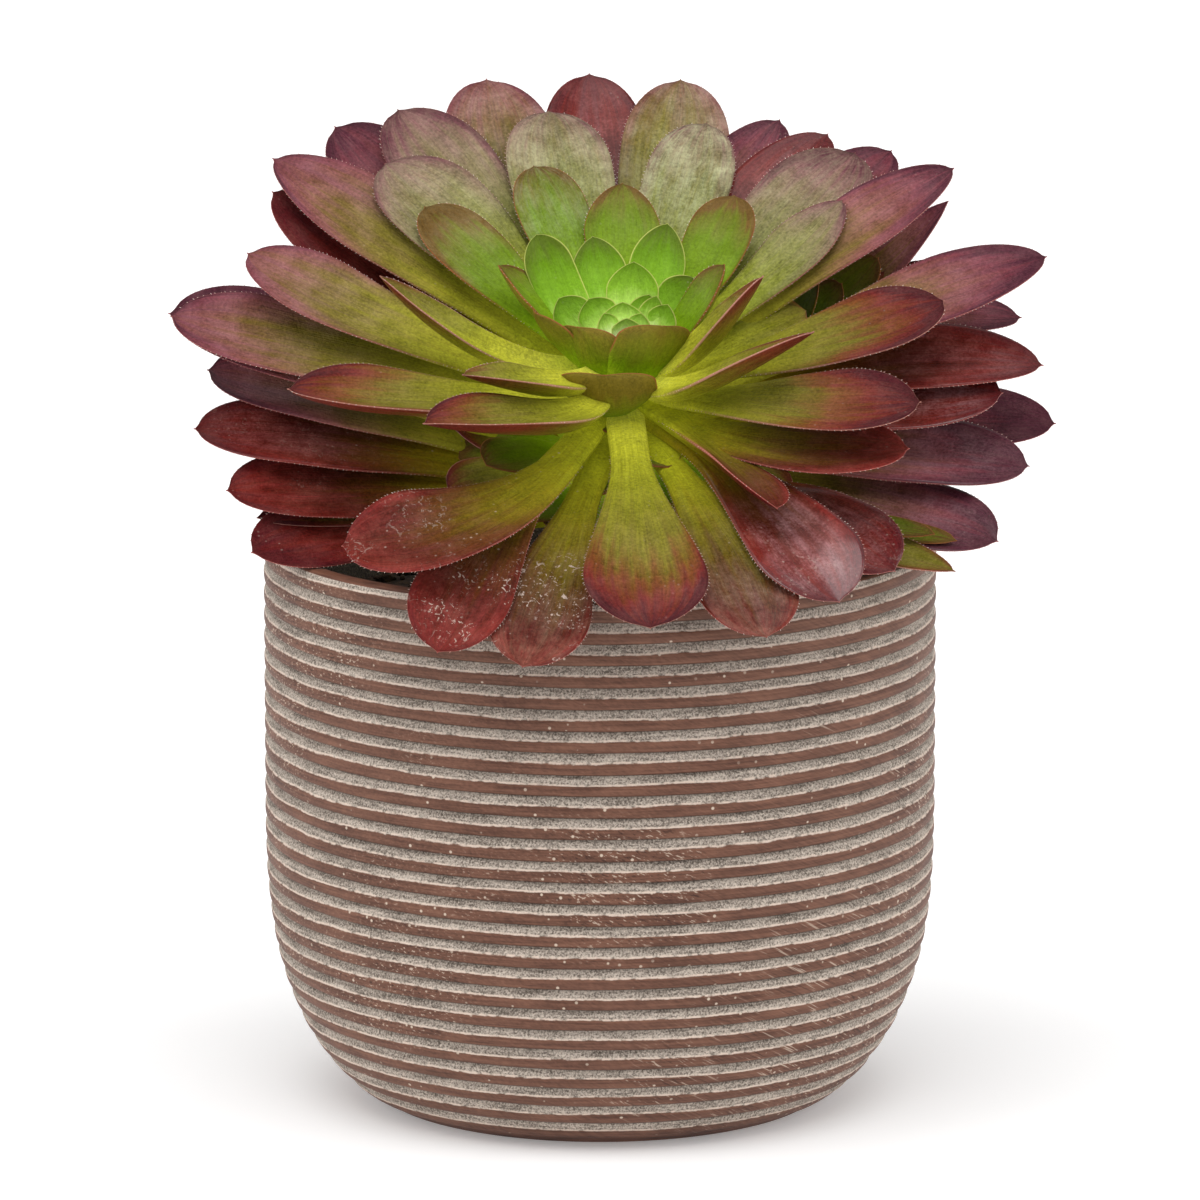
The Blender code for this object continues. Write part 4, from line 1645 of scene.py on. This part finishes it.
SIDE_SHOOTS = (
    SideShoot("side_shoot_right", (40, 28, 184), 44, (
        Leaf("long", (94, 37, 237), 14, 0, tint=PINK, point=0.8),
        Leaf("red", (84, 46, 229), 14, 0, point=0.8),
        Leaf("curled", (87, 30, 222), 12, 2, tint=DULL, point=0.8),
        Leaf("green", (79, 40, 214), 14, 0, tint=FRESH),
        Leaf("near", (55, 16, 213), 14, 0, tint=FRESH, ripe=-0.1),
        Leaf("middle", (65, 22, 217), 15, 0, tint=FRESH),
        Leaf("inner", (49, 8, 216), 13, 0, tint=FRESH, ripe=-0.1),
        Leaf("high", (75, 28, 223), 16, 0, tint=FRESH),
        Leaf("outer", (87, 30, 219), 15, 0, tint=FRESH),
        Leaf("low", (58, 14, 222), 17, 0, tint=FRESH, ripe=-0.1),
    )),
    SideShoot("side_shoot_left", (-34, 32, 178), 42, (
        Leaf("grey", (-67, 38, 214), 15, 0, tint=FROST, bloom=0.8),
        Leaf("green", (-56, 31, 210), 15, 0, tint=FRESH),
        Leaf("inner", (-34, 22, 202), 14, 0, tint=FRESH),
        Leaf("near", (-46, 20, 214), 15, 0, tint=FROST, bloom=0.6),
        Leaf("small", (-42, 14, 212), 12, 0, tint=FRESH),
    )),
)


@dataclass(frozen=True)
class Studio:
    """The camera, the floor and soft light from all round."""

    aim: Vector = Vector((0.0, 0.0, 0.1347))
    pitch: float = radians(11.6)
    distance: float = 2.679
    lens: float = 300.0
    sensor: float = 36.0
    floor_size: float = 12.0
    sky: float = 0.46
    light_angle: float = radians(50)

    def build_camera(self) -> None:
        """Place the camera in front, looking a little down."""
        camera = bpy.data.cameras.new("camera")
        camera.lens = self.lens
        camera.sensor_width = self.sensor
        camera.clip_end = 60.0
        item = bpy.data.objects.new("camera", camera)
        item.location = self.aim + self.distance * Vector((0.0, -cos(self.pitch), sin(self.pitch)))
        item.rotation_euler = (pi / 2.0 - self.pitch, 0.0, 0.0)
        bpy.context.scene.collection.objects.link(item)
        bpy.context.scene.camera = item

    def build_floor(self) -> None:
        """Lay the floor."""
        shape = bmesh.new()
        bmesh.ops.create_grid(shape, x_segments=2, y_segments=2, size=self.floor_size / 2.0)
        mesh = bpy.data.meshes.new("floor")
        shape.to_mesh(mesh)
        shape.free()
        mesh.materials.append(FloorFinish().build())
        floor = bpy.data.objects.new("floor", mesh)
        bpy.context.scene.collection.objects.link(floor)

    def build_lights(self) -> None:
        """Light the room, with a broad soft light above in front and one on each side."""
        world = bpy.data.worlds.new("studio")
        world.use_nodes = True
        background = world.node_tree.nodes["Background"]
        background.inputs["Color"].default_value = (1.0, 1.0, 1.0, 1.0)
        background.inputs["Strength"].default_value = self.sky
        bpy.context.scene.world = world
        self._add_light("top_light", (-0.06, -0.6, 1.5), 1.6)
        self._add_light("left_light", (-1.3, -0.3, 0.6), 0.9)
        self._add_light("right_light", (1.3, -0.3, 0.6), 0.9)

    def _add_light(self, name: str, place: tuple[float, float, float], strength: float) -> None:
        """Add a soft light that is alike over the whole floor.

        Args:
            name: the light's name.
            place: where it shines from, towards the origin.
            strength: how bright it is.
        """
        light = bpy.data.lights.new(name, "SUN")
        light.angle = self.light_angle
        light.energy = strength
        item = bpy.data.objects.new(name, light)
        item.location = place
        item.rotation_euler = (-Vector(place)).to_track_quat("-Z", "Y").to_euler()
        bpy.context.scene.collection.objects.link(item)


def main() -> None:
    """Build the plant, its pot and the studio around them."""
    logging.basicConfig(level=logging.INFO, format="%(name)s: %(message)s")
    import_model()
    line = StemLine()
    workshop = Workshop()
    Pot().build(workshop)
    Soil().build(workshop)
    Stem(line).build(workshop)
    rosette = Rosette(line)
    rosette.build(workshop)
    rosette.build_heart(workshop)
    Undergrowth(line).build(workshop)
    for shoot in SIDE_SHOOTS:
        shoot.build(workshop, line)
    studio = Studio()
    studio.build_camera()
    studio.build_floor()
    studio.build_lights()
    bpy.context.scene.view_settings.view_transform = "Standard"


if __name__ == "__main__":
    main()
